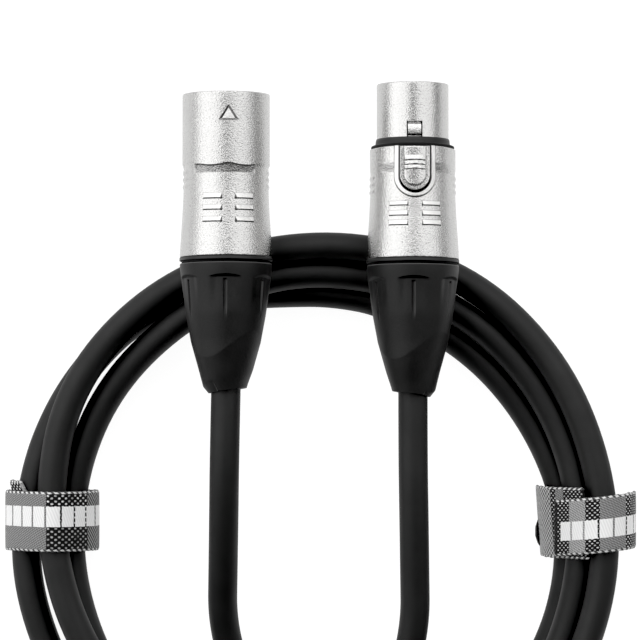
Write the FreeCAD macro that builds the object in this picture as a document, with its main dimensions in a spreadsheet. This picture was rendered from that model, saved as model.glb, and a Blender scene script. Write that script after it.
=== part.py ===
import FreeCAD, Part
import math
import os
import Sketcher
from FreeCAD import Placement, Rotation, Vector

# A microphone cable wound into a flat coil, with its two connectors lying across the
# coil's top, noses away from it, and two woven ties round the coil's sides.
# Millimetres. +Z is up from the surface that the coil lies on, +Y is the way the
# connectors point. The origin is on that surface, in the middle of the rectangle
# over the connectors and the ties.

os.makedirs("parts", exist_ok=True)
doc = FreeCAD.newDocument("xlr_cable_coil")
sheet = doc.addObject("Spreadsheet::Sheet", "dims")

SIZES = {
    # where the connectors lie
    "male_axis_x": -20.70, "male_rear_y": 13.70, "male_rear_z": 24.90, "male_spin": 4.5,
    "female_axis_x": 20.45, "female_rear_y": 13.30, "female_rear_z": 23.95, "female_spin": 2.0,
    "nose_down": 3.0,
    # cable
    "cable_radius": 3.25, "wire_radius": 0.45,
    # shells
    "shell_rear_radius": 10.20, "shell_waist_radius": 9.34, "shell_thread_bore": 8.70,
    "male_shell_length": 36.00, "male_rim_radius": 9.62, "male_bore": 8.10, "male_step": 20.0, "male_waist": 18.1,
    "female_shell_length": 24.50, "female_bore": 7.95, "female_step": 20.2, "female_waist": 18.3,
    "panel_recess": 9.02, "bar_width": 1.0, "bar_proud": 0.25,
    # male inside
    "insert_front": 20.0, "pin_radius": 1.20, "pin_stem": 0.90, "pin_offset": 3.57, "pin_tip": 31.5,
    # female inside
    "nose_radius": 7.92, "nose_bore": 7.02, "nose_rim": 38.70, "nose_tail": 21.5,
    "front_ring_radius": 9.18, "front_ring_bore": 7.68, "nose_back_radius": 7.60, "nose_step": 26.5, "front_ring_end": 26.4,
    "female_insert_radius": 6.95, "female_insert_front": 37.6, "window_width": 3.45, "window_end": 30.0,
    "contact_radius": 1.65, "contact_bore": 1.20, "contact_front": 36.4, "contact_floor": 24.4,
    # latch
    "button_half": 2.5, "button_top": 9.9, "button_centre": 18.3, "base_half": 3.3, "base_top": 9.2, "base_centre": 18.4,
    "slot_half": 3.5, "slot_centre": 17.5,
    "rim_half": 4.6, "rim_radius": 9.8, "latch_arm_width": 2.9, "pivot_back": 5.6, "pivot_height": 33.0,
    "pivot_radius": 0.50, "pivot_bore": 0.55, "latch_floor": 3.5,
    # boot, ring and chuck
    "boot_length": 29.7, "boot_shoulder": 1.35, "boot_mouth": 3.55, "boot_cavity": 6.5, "neck_radius": 8.62,
    "coding_ring_radius": 10.25, "coding_ring_bore": 8.70, "coding_ring_height": 1.30, "scoop_width": 7.4,
    "chuck_bore": 3.30, "chuck_radius": 6.20, "chuck_flange": 8.0,
    # coil and ties
    "coil_centre_y": -48.5, "tie_width": 13.0, "tie_inner": 48.8, "left_tie_outer": 70.8, "right_tie_outer": 70.2,
    "tie_thickness": 1.1, "tie_gap": 0.25, "left_tie_y": -44.8, "right_tie_y": -45.5,
}


class Dim:
    """A size with its text, so that a feature can be bound to the sheet's cell."""

    def __init__(self, text, value):
        self.text, self.value = text, float(value)

    def join(self, sign, other, value, swap=False):
        mine, theirs = self.text, other.text if isinstance(other, Dim) else repr(float(other))
        if swap:
            mine, theirs = theirs, mine
        return Dim("(%s %s %s)" % (mine, sign, theirs), value)

    def __add__(self, o):
        return self.join("+", o, self.value + num(o))

    def __radd__(self, o):
        return self.join("+", o, self.value + num(o), True)

    def __sub__(self, o):
        return self.join("-", o, self.value - num(o))

    def __rsub__(self, o):
        return self.join("-", o, num(o) - self.value, True)

    def __mul__(self, o):
        return self.join("*", o, self.value * num(o))

    def __rmul__(self, o):
        return self.join("*", o, self.value * num(o), True)

    def __truediv__(self, o):
        return self.join("/", o, self.value / num(o))

    def __neg__(self):
        return Dim("(0 - %s)" % self.text, -self.value)


def num(x):
    return x.value if isinstance(x, Dim) else float(x)


class Sizes:
    pass


D = Sizes()
for row, (name, value) in enumerate(SIZES.items(), start=1):
    sheet.set("A%d" % row, name)
    sheet.set("B%d" % row, str(value))
    sheet.setAlias("B%d" % row, name)
    setattr(D, name, Dim("dims.%s" % name, value))
doc.recompute()


def bind(obj, prop, value):
    if isinstance(value, Dim):
        setattr(obj, prop, value.value)
        obj.setExpression(prop, value.text)
    else:
        setattr(obj, prop, value)


def plane_of(body, role):
    return [f for f in body.Origin.OriginFeatures if f.Role == role][0]


def fix(sk, geo, pos, x, y):
    """Holds one point of a sketch at (x, y)."""
    for value, kind, axis in ((x, "DistanceX", -2), (y, "DistanceY", -1)):
        if abs(num(value)) < 1e-9:
            sk.addConstraint(Sketcher.Constraint("PointOnObject", geo, pos, axis))
            continue
        i = sk.addConstraint(Sketcher.Constraint(kind, -1, 1, geo, pos, num(value)))
        if isinstance(value, Dim):
            sk.setExpression("Constraints[%d]" % i, value.text)


def sketch(body, name, role, loops=(), circles=(), stadiums=(), offset=0.0, turn=0.0):
    """A sketch on one of the body's own origin planes: closed polygons, circles and round-ended slots."""
    sk = body.newObject("Sketcher::SketchObject", name)
    sk.AttachmentSupport = [(plane_of(body, role), "")]
    sk.MapMode = "FlatFace"
    if num(offset) or turn:
        sk.AttachmentOffset = Placement(Vector(0, 0, num(offset)), Rotation(Vector(0, 1, 0), turn))
        if isinstance(offset, Dim):
            sk.setExpression("AttachmentOffset.Base.z", offset.text)
    for loop in loops:
        first, n = sk.GeometryCount, len(loop)
        for i in range(n):
            a, b = loop[i], loop[(i + 1) % n]
            sk.addGeometry(Part.LineSegment(Vector(num(a[0]), num(a[1]), 0), Vector(num(b[0]), num(b[1]), 0)), False)
        for i in range(n):
            sk.addConstraint(Sketcher.Constraint("Coincident", first + i, 2, first + (i + 1) % n, 1))
        for i in range(n):
            fix(sk, first + i, 1, *loop[i])
    for x, y, r in circles:
        g = sk.addGeometry(Part.Circle(Vector(num(x), num(y), 0), Vector(0, 0, 1), num(r)), False)
        fix(sk, g, 3, x, y)
        i = sk.addConstraint(Sketcher.Constraint("Radius", g, num(r)))
        if isinstance(r, Dim):
            sk.setExpression("Constraints[%d]" % i, r.text)
    for half, centre, top in stadiums:
        # a slot with a round lower end: two straight sides, a flat top and a half circle
        w, c, t = num(half), num(centre), num(top)
        a = sk.addGeometry(Part.ArcOfCircle(Part.Circle(Vector(0, c, 0), Vector(0, 0, 1), w), math.pi, 2 * math.pi), False)
        r = sk.addGeometry(Part.LineSegment(Vector(w, c, 0), Vector(w, t, 0)), False)
        u = sk.addGeometry(Part.LineSegment(Vector(w, t, 0), Vector(-w, t, 0)), False)
        l = sk.addGeometry(Part.LineSegment(Vector(-w, t, 0), Vector(-w, c, 0)), False)
        for g1, p1, g2, p2 in ((a, 2, r, 1), (r, 2, u, 1), (u, 2, l, 1), (l, 2, a, 1)):
            sk.addConstraint(Sketcher.Constraint("Coincident", g1, p1, g2, p2))
        sk.addConstraint(Sketcher.Constraint("Horizontal", u))
        sk.addConstraint(Sketcher.Constraint("Vertical", r))
        sk.addConstraint(Sketcher.Constraint("Vertical", l))
        fix(sk, a, 3, 0, centre)
        i = sk.addConstraint(Sketcher.Constraint("Radius", a, w))
        if isinstance(half, Dim):
            sk.setExpression("Constraints[%d]" % i, half.text)
        i = sk.addConstraint(Sketcher.Constraint("DistanceY", -1, 1, u, 1, t))
        if isinstance(top, Dim):
            sk.setExpression("Constraints[%d]" % i, top.text)
        sk.addConstraint(Sketcher.Constraint("Horizontal", a, 1, a, 3))
        sk.addConstraint(Sketcher.Constraint("Horizontal", a, 2, a, 3))
    return sk


def new_body(label):
    b = doc.addObject("PartDesign::Body", label)
    b.Label = label
    return b


def axis_feature(body, kind, name, sk, angle=360.0, both=False):
    f = body.newObject("PartDesign::" + kind, name)
    f.Profile = sk
    f.ReferenceAxis = (sk, ["V_Axis"])
    f.Angle = angle
    f.Midplane = both
    doc.recompute()
    return f


def turned(label, loop, chamfers=()):
    b = new_body(label)
    axis_feature(b, "Revolution", "turned", sketch(b, "profile", "XZ_Plane", [loop]))
    return b


def push(body, kind, name, sk, length=None, reverse=False, both=False):
    f = body.newObject("PartDesign::" + kind, name)
    f.Profile = sk
    if length is None:
        f.Type = "ThroughAll"
    else:
        bind(f, "Length", length)
    f.Reversed = reverse
    if both:
        f.SideType = "Symmetric"
    doc.recompute()
    return f


def polar(body, name, feature, count):
    f = body.newObject("PartDesign::PolarPattern", name)
    f.Originals = [feature]
    f.Axis = (plane_of(body, "Z_Axis"), [""])
    f.Angle = 360.0
    f.Occurrences = count
    body.Tip = f
    doc.recompute()
    return f


def cut_volume(body, before, what):
    after = body.Shape.Volume
    if after > before - 1e-3:
        raise RuntimeError("%s of %s cut nothing" % (what, body.Label))
    return after


def frame_of(side):
    """The place of a connector: local Z runs to its nose, local -Y is the side that faces up."""
    n = num(D.nose_down)
    x, y, z, spin = ((D.male_axis_x, D.male_rear_y, D.male_rear_z, D.male_spin) if side == "male"
                     else (D.female_axis_x, D.female_rear_y, D.female_rear_z, D.female_spin))
    rot = Rotation(Vector(1, 0, 0), -(90.0 + n)).multiply(Rotation(Vector(0, 0, 1), num(spin)))
    return Placement(Vector(num(x), num(y), num(z)), rot)


placed = []


def put(obj, side=None, shift=(0, 0, 0), turn=None):
    """Gives a sub-part its Placement and adds it to the list that is written."""
    local = Placement(Vector(*shift), turn or Rotation())
    obj.Placement = frame_of(side).multiply(local) if side else local
    placed.append(obj)
    return obj


# ---------------------------------------------------------------- shells

def grip_bars(body, rows, radius_at):
    """Two columns of three raised bars, one each side of the upper line."""
    for name, start in (("left_bars", 180.0 + 8.7 + 13.6), ("right_bars", 180.0 - 8.7 - 13.6)):
        loops = []
        for zc in rows:
            r = radius_at(zc)
            loops.append([(r - 0.35, zc - 0.5 * D.bar_width), (r + D.bar_proud, zc - 0.5 * D.bar_width),
                          (r + D.bar_proud, zc + 0.5 * D.bar_width), (r - 0.35, zc + 0.5 * D.bar_width)])
        sk = sketch(body, name + "_sk", "YZ_Plane", loops, turn=start)
        axis_feature(body, "Revolution", name, sk, 27.2, True)


def flare(z):
    """The outer radius of a shell's waisted part at height z."""
    pts = [(0.5, 10.2), (4.0, 9.98), (9.5, 9.62), (14.5, 9.38), (18.3, 9.34)]
    for (z0, r0), (z1, r1) in zip(pts, pts[1:]):
        if z <= z1:
            return r0 + (r1 - r0) * max(0.0, z - z0) / (z1 - z0)
    return pts[-1][1]


W = D.shell_waist_radius
R0 = D.shell_rear_radius
male_shell = turned("male_shell", [
    (D.shell_thread_bore, 0), (R0, 0), (R0, 0.5), (R0 - 0.22, 4.0), (R0 - 0.58, 9.5), (R0 - 0.82, 14.5), (W, D.male_waist),
    (D.male_rim_radius, D.male_waist + 0.9), (D.male_rim_radius, D.male_shell_length - 0.4),
    (D.male_rim_radius - 0.3, D.male_shell_length), (D.male_bore + 0.35, D.male_shell_length),
    (D.male_bore, D.male_shell_length - 0.4), (D.male_bore, 12.0), (D.shell_thread_bore, 11.2)])
v = male_shell.Shape.Volume
sk = sketch(male_shell, "step_sk", "YZ_Plane", [[(-(D.panel_recess), D.male_waist), (-10.6, D.male_waist),
                                                (-10.6, D.male_step), (-(D.panel_recess + 0.2), D.male_step)]])
axis_feature(male_shell, "Groove", "step", sk, 88.0, True)
v = cut_volume(male_shell, v, "step")
# the arrow on the upper side: an engraved triangle outline
sk = sketch(male_shell, "arrow_sk", "XZ_Plane", [
    [(-2.04, 29.45), (2.04, 29.45), (0, 32.75)], [(-1.42, 29.8), (1.42, 29.8), (0, 32.05)]], offset=9.22)
push(male_shell, "Pocket", "arrow", sk, 1.0, True)
v = cut_volume(male_shell, v, "arrow")
# the catch for the mating latch, inside the rim on the upper side
sk = sketch(male_shell, "catch_sk", "XZ_Plane", [[(-2.0, 26.3), (2.0, 26.3), (2.0, 30.6), (-2.0, 30.6)]], offset=7.0)
push(male_shell, "Pocket", "catch", sk, 1.75, True)
v = cut_volume(male_shell, v, "catch")
# the key rib inside, opposite the catch
sk = sketch(male_shell, "key_sk", "XZ_Plane", [[(-1.0, D.insert_front + 0.05), (1.0, D.insert_front + 0.05), (1.0, 34.0), (-1.0, 34.0)]], offset=-8.6)
push(male_shell, "Pad", "key", sk, 1.2)
grip_bars(male_shell, (13.1, 10.56, 8.0), flare)
put(male_shell, "male")

female_shell = turned("female_shell", [
    (D.shell_thread_bore, 0), (R0, 0), (R0, 0.5), (R0 - 0.22, 4.0), (R0 - 0.58, 9.5), (R0 - 0.82, 14.5), (W, D.female_waist),
    (W + 0.02, D.female_shell_length - 0.3), (W - 0.2, D.female_shell_length), (D.female_bore, D.female_shell_length),
    (D.female_bore, 12.0), (D.shell_thread_bore, 11.2)])
# the raised rim round the thumb button, trimmed to the shell's curve
sk = sketch(female_shell, "rim_sk", "XZ_Plane", stadiums=[(D.rim_half, D.slot_centre, D.female_shell_length)], offset=8.0)
push(female_shell, "Pad", "rim", sk, 3.0)
v = female_shell.Shape.Volume
sk = sketch(female_shell, "trim_sk", "XZ_Plane", [[(D.rim_radius, 11.0), (13.0, 11.0), (13.0, D.female_shell_length + 1.0), (D.rim_radius - 0.4, D.female_shell_length + 1.0), (D.rim_radius - 0.15, D.female_step)]])
axis_feature(female_shell, "Groove", "trim", sk)
v = cut_volume(female_shell, v, "trim")
sk = sketch(female_shell, "slot_sk", "XZ_Plane", stadiums=[(D.slot_half, D.slot_centre, D.female_shell_length + 1.0)])
push(female_shell, "Pocket", "slot", sk, 14.0, True)
v = cut_volume(female_shell, v, "slot")
grip_bars(female_shell, (12.0, 9.9, 7.8), flare)
put(female_shell, "female")

# ---------------------------------------------------------------- female nose

female_nose = turned("female_nose", [
    (D.nose_bore, D.nose_tail), (D.nose_back_radius, D.nose_tail), (D.nose_back_radius, D.nose_step), (D.nose_radius, D.nose_step),
    (D.nose_radius, D.nose_rim - 0.4), (D.nose_radius - 0.3, D.nose_rim),
    (D.nose_bore + 0.25, D.nose_rim), (D.nose_bore, D.nose_rim - 0.3)])
v = female_nose.Shape.Volume
hw = D.window_width * 0.5
sk = sketch(female_nose, "window_sk", "XZ_Plane", [[(-3.7, 21.0), (3.7, 21.0), (3.7, 24.6), (hw, 24.6), (hw, D.window_end),
                                                   (-hw, D.window_end), (-hw, 24.6), (-3.7, 24.6)]])
push(female_nose, "Pocket", "window", sk, 10.0, True)
v = cut_volume(female_nose, v, "window")
sk = sketch(female_nose, "keyway_sk", "XZ_Plane", [[(-1.2, 27.0), (1.2, 27.0), (1.2, 40.0), (-1.2, 40.0)]])
push(female_nose, "Pocket", "keyway", sk, 10.0, False)
v = cut_volume(female_nose, v, "keyway")
put(female_nose, "female")

put(turned("female_front_ring", [
    (D.front_ring_bore, D.female_shell_length), (D.front_ring_radius, D.female_shell_length),
    (D.front_ring_radius, D.front_ring_end - 0.6), (D.front_ring_radius - 0.6, D.front_ring_end), (D.front_ring_bore, D.front_ring_end)]), "female")

# ---------------------------------------------------------------- inserts and contacts

P3 = ((-D.pin_offset, 0), (D.pin_offset, 0), (0, D.pin_offset))  # contacts 1, 2 and 3

male_insert = turned("male_insert", [
    (0, 10.0), (6.2, 10.0), (6.2, 14.0), (D.male_bore - 0.03, 14.0), (D.male_bore - 0.03, D.insert_front), (0, D.insert_front)])
v = male_insert.Shape.Volume
sk = sketch(male_insert, "holes_sk", "XY_Plane", circles=[(x, y, D.pin_stem) for x, y in P3])
push(male_insert, "Pocket", "holes", sk, 40.0, True)
v = cut_volume(male_insert, v, "holes")
put(male_insert, "male")

for i, (x, y) in enumerate(P3, start=1):
    pin = turned("male_pin_%d" % i, [
        (0, 9.3), (0.6, 9.3), (0.6, 8.3), (D.pin_stem, 8.3), (D.pin_stem, D.insert_front), (D.pin_radius, D.insert_front),
        (D.pin_radius, D.pin_tip - 0.8), (D.pin_radius - 0.55, D.pin_tip), (0, D.pin_tip)])
    put(pin, "male", (num(x), num(y), 0))

female_insert = turned("female_insert", [
    (0, 12.0), (6.2, 12.0), (6.2, 19.4), (7.85, 19.4), (7.85, 21.4), (D.female_insert_radius, 21.4),
    (D.female_insert_radius, D.female_insert_front), (0, D.female_insert_front)])
v = female_insert.Shape.Volume
sk = sketch(female_insert, "sockets_sk", "XY_Plane", circles=[(x, y, D.contact_radius + 0.01) for x, y in P3])
push(female_insert, "Pocket", "sockets", sk, D.contact_front + 0.05, True)
v = cut_volume(female_insert, v, "sockets")
sk = sketch(female_insert, "mouths_sk", "XY_Plane", circles=[(x, y, D.contact_bore + 0.3) for x, y in P3])
push(female_insert, "Pocket", "mouths", sk, 60.0, True)
v = cut_volume(female_insert, v, "mouths")
# the space for the latch: wide under the button, narrow under its arm
F = -D.latch_floor
sk = sketch(female_insert, "latch_space_sk", "YZ_Plane", [[(F, 11.0), (F, 24.6), (-9.0, 24.6), (-9.0, 11.0)]])
push(female_insert, "Pocket", "latch_space", sk, 7.8, both=True)
v = cut_volume(female_insert, v, "latch_space")
sk = sketch(female_insert, "arm_space_sk", "YZ_Plane", [[(F, 24.0), (F, 34.6), (-9.0, 34.6), (-9.0, 24.0)]])
push(female_insert, "Pocket", "arm_space", sk, 3.8, both=True)
v = cut_volume(female_insert, v, "arm_space")
sk = sketch(female_insert, "pivot_sk", "YZ_Plane", circles=[(-D.pivot_back, D.pivot_height, D.pivot_radius)])
push(female_insert, "Pocket", "pivot_hole", sk, 16.0, both=True)
v = cut_volume(female_insert, v, "pivot_hole")
put(female_insert, "female")

for i, (x, y) in enumerate(P3, start=1):
    c = turned("female_contact_%d" % i, [
        (0, 10.5), (0.8, 10.5), (0.8, 9.5), (1.3, 9.5), (1.3, 22.0), (D.contact_radius, 22.0), (D.contact_radius, D.contact_front),
        (D.contact_bore, D.contact_front), (D.contact_bore, D.contact_floor), (0, D.contact_floor)])
    put(c, "female", (num(x), num(y), 0))

# ---------------------------------------------------------------- latch

latch = new_body("female_latch")
sk = sketch(latch, "arm_sk", "YZ_Plane", [[
    (-4.95, 24.2), (-4.95, 31.9), (-4.5, 32.6), (-4.5, 33.4), (-5.0, 34.1), (-6.2, 34.1), (-6.7, 33.4), (-6.7, 32.6), (-6.2, 31.9),
    (-6.2, 29.9), (-7.94, 29.7), (-7.94, 27.6), (-7.3, 26.8), (-6.2, 26.8), (-6.2, 24.9), (-8.5, 24.0), (-8.5, 20.5), (-6.6, 20.5)]])
push(latch, "Pad", "arm", sk, D.latch_arm_width, both=True)
sk = sketch(latch, "base_sk", "XZ_Plane", stadiums=[(D.base_half, D.base_centre, 24.05)], offset=7.2)
push(latch, "Pad", "base", sk, D.base_top - 7.2)
sk = sketch(latch, "button_sk", "XZ_Plane", stadiums=[(D.button_half, D.button_centre, 24.05)], offset=D.base_top - 0.1)
push(latch, "Pad", "button", sk, D.button_top - D.base_top + 0.1)
# three ridges across the button
sk = sketch(latch, "ridges_sk", "YZ_Plane", [
    [(-(D.button_top - 0.1), z - 0.28), (-(D.button_top + 0.28), z - 0.12), (-(D.button_top + 0.28), z + 0.12), (-(D.button_top - 0.1), z + 0.28)]
    for z in (19.2, 20.2, 21.2)])
push(latch, "Pad", "ridges", sk, 4.6, both=True)
v = latch.Shape.Volume
sk = sketch(latch, "eye_sk", "YZ_Plane", circles=[(-D.pivot_back, D.pivot_height, D.pivot_bore)])
push(latch, "Pocket", "eye", sk, 12.0, both=True)
v = cut_volume(latch, v, "eye")
put(latch, "female")

pin = doc.addObject("Part::Cylinder", "female_latch_pin")
pin.Label = "female_latch_pin"
bind(pin, "Radius", D.pivot_radius)
bind(pin, "Height", 6.6)
put(pin, "female", (-3.3, -num(D.pivot_back), num(D.pivot_height)), Rotation(Vector(0, 1, 0), 90))

# the return spring: a short coil between the insert and the button's back
spring = doc.addObject("Part::Feature", "female_latch_spring")
spring.Label = "female_latch_spring"
helix = Part.makeHelix(0.86, 3.18, 1.1)
ring = Part.Wire([Part.makeCircle(0.2, Vector(1.1, 0, 0), Vector(0, 1, 0.12))])
spring.Shape = Part.Wire(helix.Edges).makePipeShell([ring], True, True)
put(spring, "female", (0, -num(D.latch_floor) - 0.26, 19.0), Rotation(Vector(1, 0, 0), 90))

# ---------------------------------------------------------------- rings, boots, chucks, earth springs, cable ends, conductors

for side in ("male", "female"):
    put(turned(side + "_coding_ring", [
        (D.coding_ring_bore, -D.coding_ring_height), (D.coding_ring_radius - 0.15, -D.coding_ring_height),
        (D.coding_ring_radius, 0.15 - D.coding_ring_height), (D.coding_ring_radius, -0.15), (D.coding_ring_radius - 0.15, 0), (D.coding_ring_bore, 0)]), side)

    S = -D.boot_shoulder
    boot = turned(side + "_boot", [
        (D.neck_radius, 6.0), (D.neck_radius, S), (10.05, S), (10.2, S - 0.25), (10.12, -3.0), (9.62, -6.7), (8.83, -12.6), (7.85, -18.35),
        (7.2, -21.0), (6.35, -23.4), (5.05, -28.3), (4.6, -29.0), (4.15, -D.boot_length), (D.boot_mouth, -D.boot_length), (D.boot_mouth, -15.2),
        (D.boot_cavity, -13.6), (D.boot_cavity, 6.0)])
    v = boot.Shape.Volume
    # six scooped flats under a small eyebrow edge
    sk = sketch(boot, "scoop_sk", "YZ_Plane", [[(-9.5, -4.4), (-11.0, -4.4), (-11.0, -21.5), (-7.0, -21.5)]])
    scoop = push(boot, "Pocket", "scoop", sk, D.scoop_width, both=True)
    v = cut_volume(boot, v, "scoop")
    polar(boot, "scoops", scoop, 6)
    v = cut_volume(boot, v, "scoops")
    put(boot, side)

    chuck = turned(side + "_cable_chuck", [
        (D.chuck_bore, -13.0), (5.4, -13.0), (D.chuck_radius, -10.5), (D.chuck_radius, 6.3), (D.chuck_flange, 6.3), (D.chuck_flange, 7.8),
        (4.4, 7.8), (4.4, 4.6), (D.chuck_bore, 4.1)])
    v = chuck.Shape.Volume
    sk = sketch(chuck, "slit_sk", "YZ_Plane", [[(-7.0, -14.0), (-7.0, -2.0), (0, -2.0), (0, -14.0)]])
    slit = push(chuck, "Pocket", "slit", sk, 0.8, both=True)
    v = cut_volume(chuck, v, "slit")
    polar(chuck, "slits", slit, 4)
    put(chuck, side)

    earth = new_body(side + "_earth_spring")
    z0, z1 = (9.0, 13.95) if side == "male" else (13.6, 19.35)
    r1 = 8.05 if side == "male" else 7.85
    sk = sketch(earth, "strip_sk", "YZ_Plane", [[(r1 - 0.4, z0), (r1, z0), (r1, z1), (6.25, z1), (6.25, z1 - 0.4), (r1 - 0.4, z1 - 0.6)]])
    axis_feature(earth, "Revolution", "strip", sk, 56.0, True)
    put(earth, side)

    tail = doc.addObject("Part::Cylinder", side + "_cable_end")
    tail.Label = side + "_cable_end"
    bind(tail, "Radius", D.cable_radius)
    bind(tail, "Height", D.boot_length + 4.0)
    put(tail, side, (0, 0, -num(D.boot_length)))


def tube(points, radius, label):
    """A round tube along straight runs joined by tangent arcs, each arc as large as its two runs allow."""
    pts = [Vector(*p) for p in points]
    runs = [(b - a).Length for a, b in zip(pts, pts[1:])]
    edges, at, radii = [], pts[0], []
    for i in range(1, len(pts) - 1):
        a, b = (pts[i - 1] - pts[i]).normalize(), (pts[i + 1] - pts[i]).normalize()
        half = (math.pi - a.getAngle(b)) / 2.0
        reach = 0.45 * min(runs[i - 1], runs[i])
        bend = reach / math.tan(half)
        radii.append(bend)
        p0, p1 = pts[i] + a * reach, pts[i] + b * reach
        middle = pts[i] + (a + b).normalize() * (bend / math.cos(half) - bend)
        edges += [Part.LineSegment(at, p0).toShape(), Part.Arc(p0, middle, p1).toShape()]
        at = p1
    edges.append(Part.LineSegment(at, pts[-1]).toShape())
    wire = Part.Wire(edges)
    ring = Part.Wire([Part.makeCircle(radius, pts[0], pts[1] - pts[0])])
    shape = wire.makePipeShell([ring], True, False)
    share = shape.Volume / (math.pi * radius * radius * wire.Length)
    print("%s: length %.1f, radii %.1f to %.1f, volume over section times length %.4f" % (
        label, wire.Length, min(radii), max(radii), share))
    obj = doc.addObject("Part::Feature", label)
    obj.Label = label
    obj.Shape = shape
    return obj


# the three conductors of each cable end, from the chuck to the solder cups
for side, cup in (("male", 8.3), ("female", 9.5)):
    for i, (x, y) in enumerate(P3, start=1):
        x, y = num(x), num(y)
        far = math.hypot(x, y)
        ux, uy = x / far, y / far
        route = [(0.95 * ux, 0.95 * uy, 4.02), (0.95 * ux, 0.95 * uy, 5.2), (1.75 * ux, 1.75 * uy, 6.1), (2.75 * ux, 2.75 * uy, 7.0),
                 (x, y, 7.9 if side == "male" else 8.3), (x, y, cup + 0.5)]
        if side == "female":
            route = [(0.95 * ux, 0.95 * uy, 4.02), (0.95 * ux, 0.95 * uy, 5.4), (1.8 * ux, 1.8 * uy, 6.6), (2.8 * ux, 2.8 * uy, 7.7),
                     (x, y, 8.9), (x, y, cup + 0.6)]
        put(tube(route, num(D.wire_radius), "%s_conductor_%d" % (side, i)), side)

# ---------------------------------------------------------------- cable

# The coil's outer shape: three turns of cable beside and on each other, in one solid.
# Each row holds the places (radius, height) of the turns at one angle round the coil.
TURNS = [
    (-180, [(66.0, 4.6), (56.1, 4.6), (59.7, 10.1)]), (-165, [(66.1, 4.2), (56.2, 4.4), (58.4, 10.6)]),
    (-150, [(66.0, 3.5), (56.7, 4.2), (57.5, 10.7)]), (-135, [(65.7, 3.4), (57.7, 4.9), (57.3, 11.5)]),
    (-120, [(65.1, 3.4), (59.1, 6.5), (56.5, 12.5)]), (-105, [(64.4, 3.3), (60.6, 8.6), (53.5, 13.0)]),
    (-90, [(63.4, 3.7), (61.9, 10.4)]), (-75, [(53.4, 3.5), (62.4, 5.3), (62.9, 12.0)]),
    (-60, [(56.2, 3.3), (61.2, 7.8), (63.5, 14.1)]), (-45, [(57.2, 3.3), (60.0, 9.2), (63.8, 14.7)]),
    (-30, [(56.8, 3.6), (59.0, 9.9), (63.7, 14.4)]), (-15, [(56.4, 4.2), (58.4, 10.5), (63.5, 14.7)]),
    (0, [(55.9, 4.8), (58.2, 10.9), (63.3, 15.0)]), (15, [(55.1, 4.4), (58.2, 10.3), (63.3, 14.5)]),
    (30, [(54.1, 3.6), (58.3, 8.6), (63.7, 12.5)]), (45, [(53.5, 3.3), (58.3, 7.8), (64.4, 10.5)]),
    (60, [(53.3, 3.3), (58.3, 7.5), (65.0, 9.6)]), (75, [(53.7, 3.3), (58.6, 7.6), (65.1, 10.1)]),
    (90, [(54.9, 3.3), (58.6, 8.9), (64.9, 10.9)]), (105, [(57.1, 3.3), (58.2, 9.9), (64.7, 11.1)]),
    (120, [(60.2, 3.4), (57.3, 9.3), (64.7, 10.0)]), (135, [(63.0, 3.3), (56.8, 7.2), (64.2, 9.7)]),
    (150, [(64.8, 3.7), (56.5, 5.3), (63.1, 10.1)]), (165, [(65.6, 4.5), (56.3, 4.8), (61.3, 9.9)]),
]
SIDES = [math.radians(45.0 * k) for k in range(8)]


def reach(places, radius):
    """How far round sections at some places reach, in each of eight directions."""
    return [max(x * math.cos(t) + y * math.sin(t) for x, y in places) + radius for t in SIDES]


def corners(reaches):
    """The corners of the eight-sided figure whose sides lie at the given reaches."""
    out = []
    for k in range(8):
        t0, t1 = SIDES[k], SIDES[(k + 1) % 8]
        a, b, c, d = math.cos(t0), math.sin(t0), math.cos(t1), math.sin(t1)
        e, f = reaches[k], reaches[(k + 1) % 8]
        det = a * d - b * c
        out.append(((e * d - b * f) / det, (a * f - e * c) / det))
    return out


CR = num(D.cable_radius)
coil = new_body("cable_coil")
rows = []
for angle, places in TURNS:
    reaches = reach(places, CR)
    reaches[6] = min(reaches[6], -0.0)
    rows.append(sketch(coil, "section_%d" % (angle + 180), "XZ_Plane", [corners(reaches)], turn=float(angle)))
doc.recompute()
for name, part in (("front_half", rows[:13]), ("back_half", rows[12:] + rows[:1])):
    loft = coil.newObject("PartDesign::AdditiveLoft", name)
    loft.Profile = part[0]
    loft.Sections = part[1:]
    loft.Ruled = True
    doc.recompute()
CX, CY = 0.0, num(D.coil_centre_y)
put(coil, None, (CX, CY, 0))

# The leads run from the boots' mouths across the coil's inside, and into the coil.
MALE_LEAD = [(-20.7, -15.96, 26.45), (-20.75, -30.0, 27.15), (-20.9, -43.0, 24.0), (-21.2, -55.0, 18.0), (-21.6, -66.9, 12.0),
             (-19.0, -78.4, 8.0), (-12.5, -88.9, 5.7), (-2.7, -96.5, 4.5), (9.0, -100.3, 3.7)]
FEMALE_LEAD = [(20.45, -16.36, 25.5), (20.5, -30.5, 26.2), (20.7, -43.5, 24.85), (20.9, -55.5, 22.85), (21.1, -66.9, 20.45),
               (18.6, -78.4, 17.95), (12.0, -88.9, 15.85), (2.2, -96.5, 14.2), (-9.5, -100.4, 13.1), (-21.9, -100.0, 12.65)]
for label, side, points in (("male_lead", "male", MALE_LEAD), ("female_lead", "female", FEMALE_LEAD)):
    mouth = frame_of(side).multVec(Vector(0, 0, -num(D.boot_length)))
    along = frame_of(side).Rotation.multVec(Vector(0, 0, -1))
    first = (Vector(*points[1]) - mouth).Length
    points = [tuple(mouth), tuple(mouth + along * first)] + points[2:]
    put(tube(points, num(D.cable_radius), label))

# ---------------------------------------------------------------- ties

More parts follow.
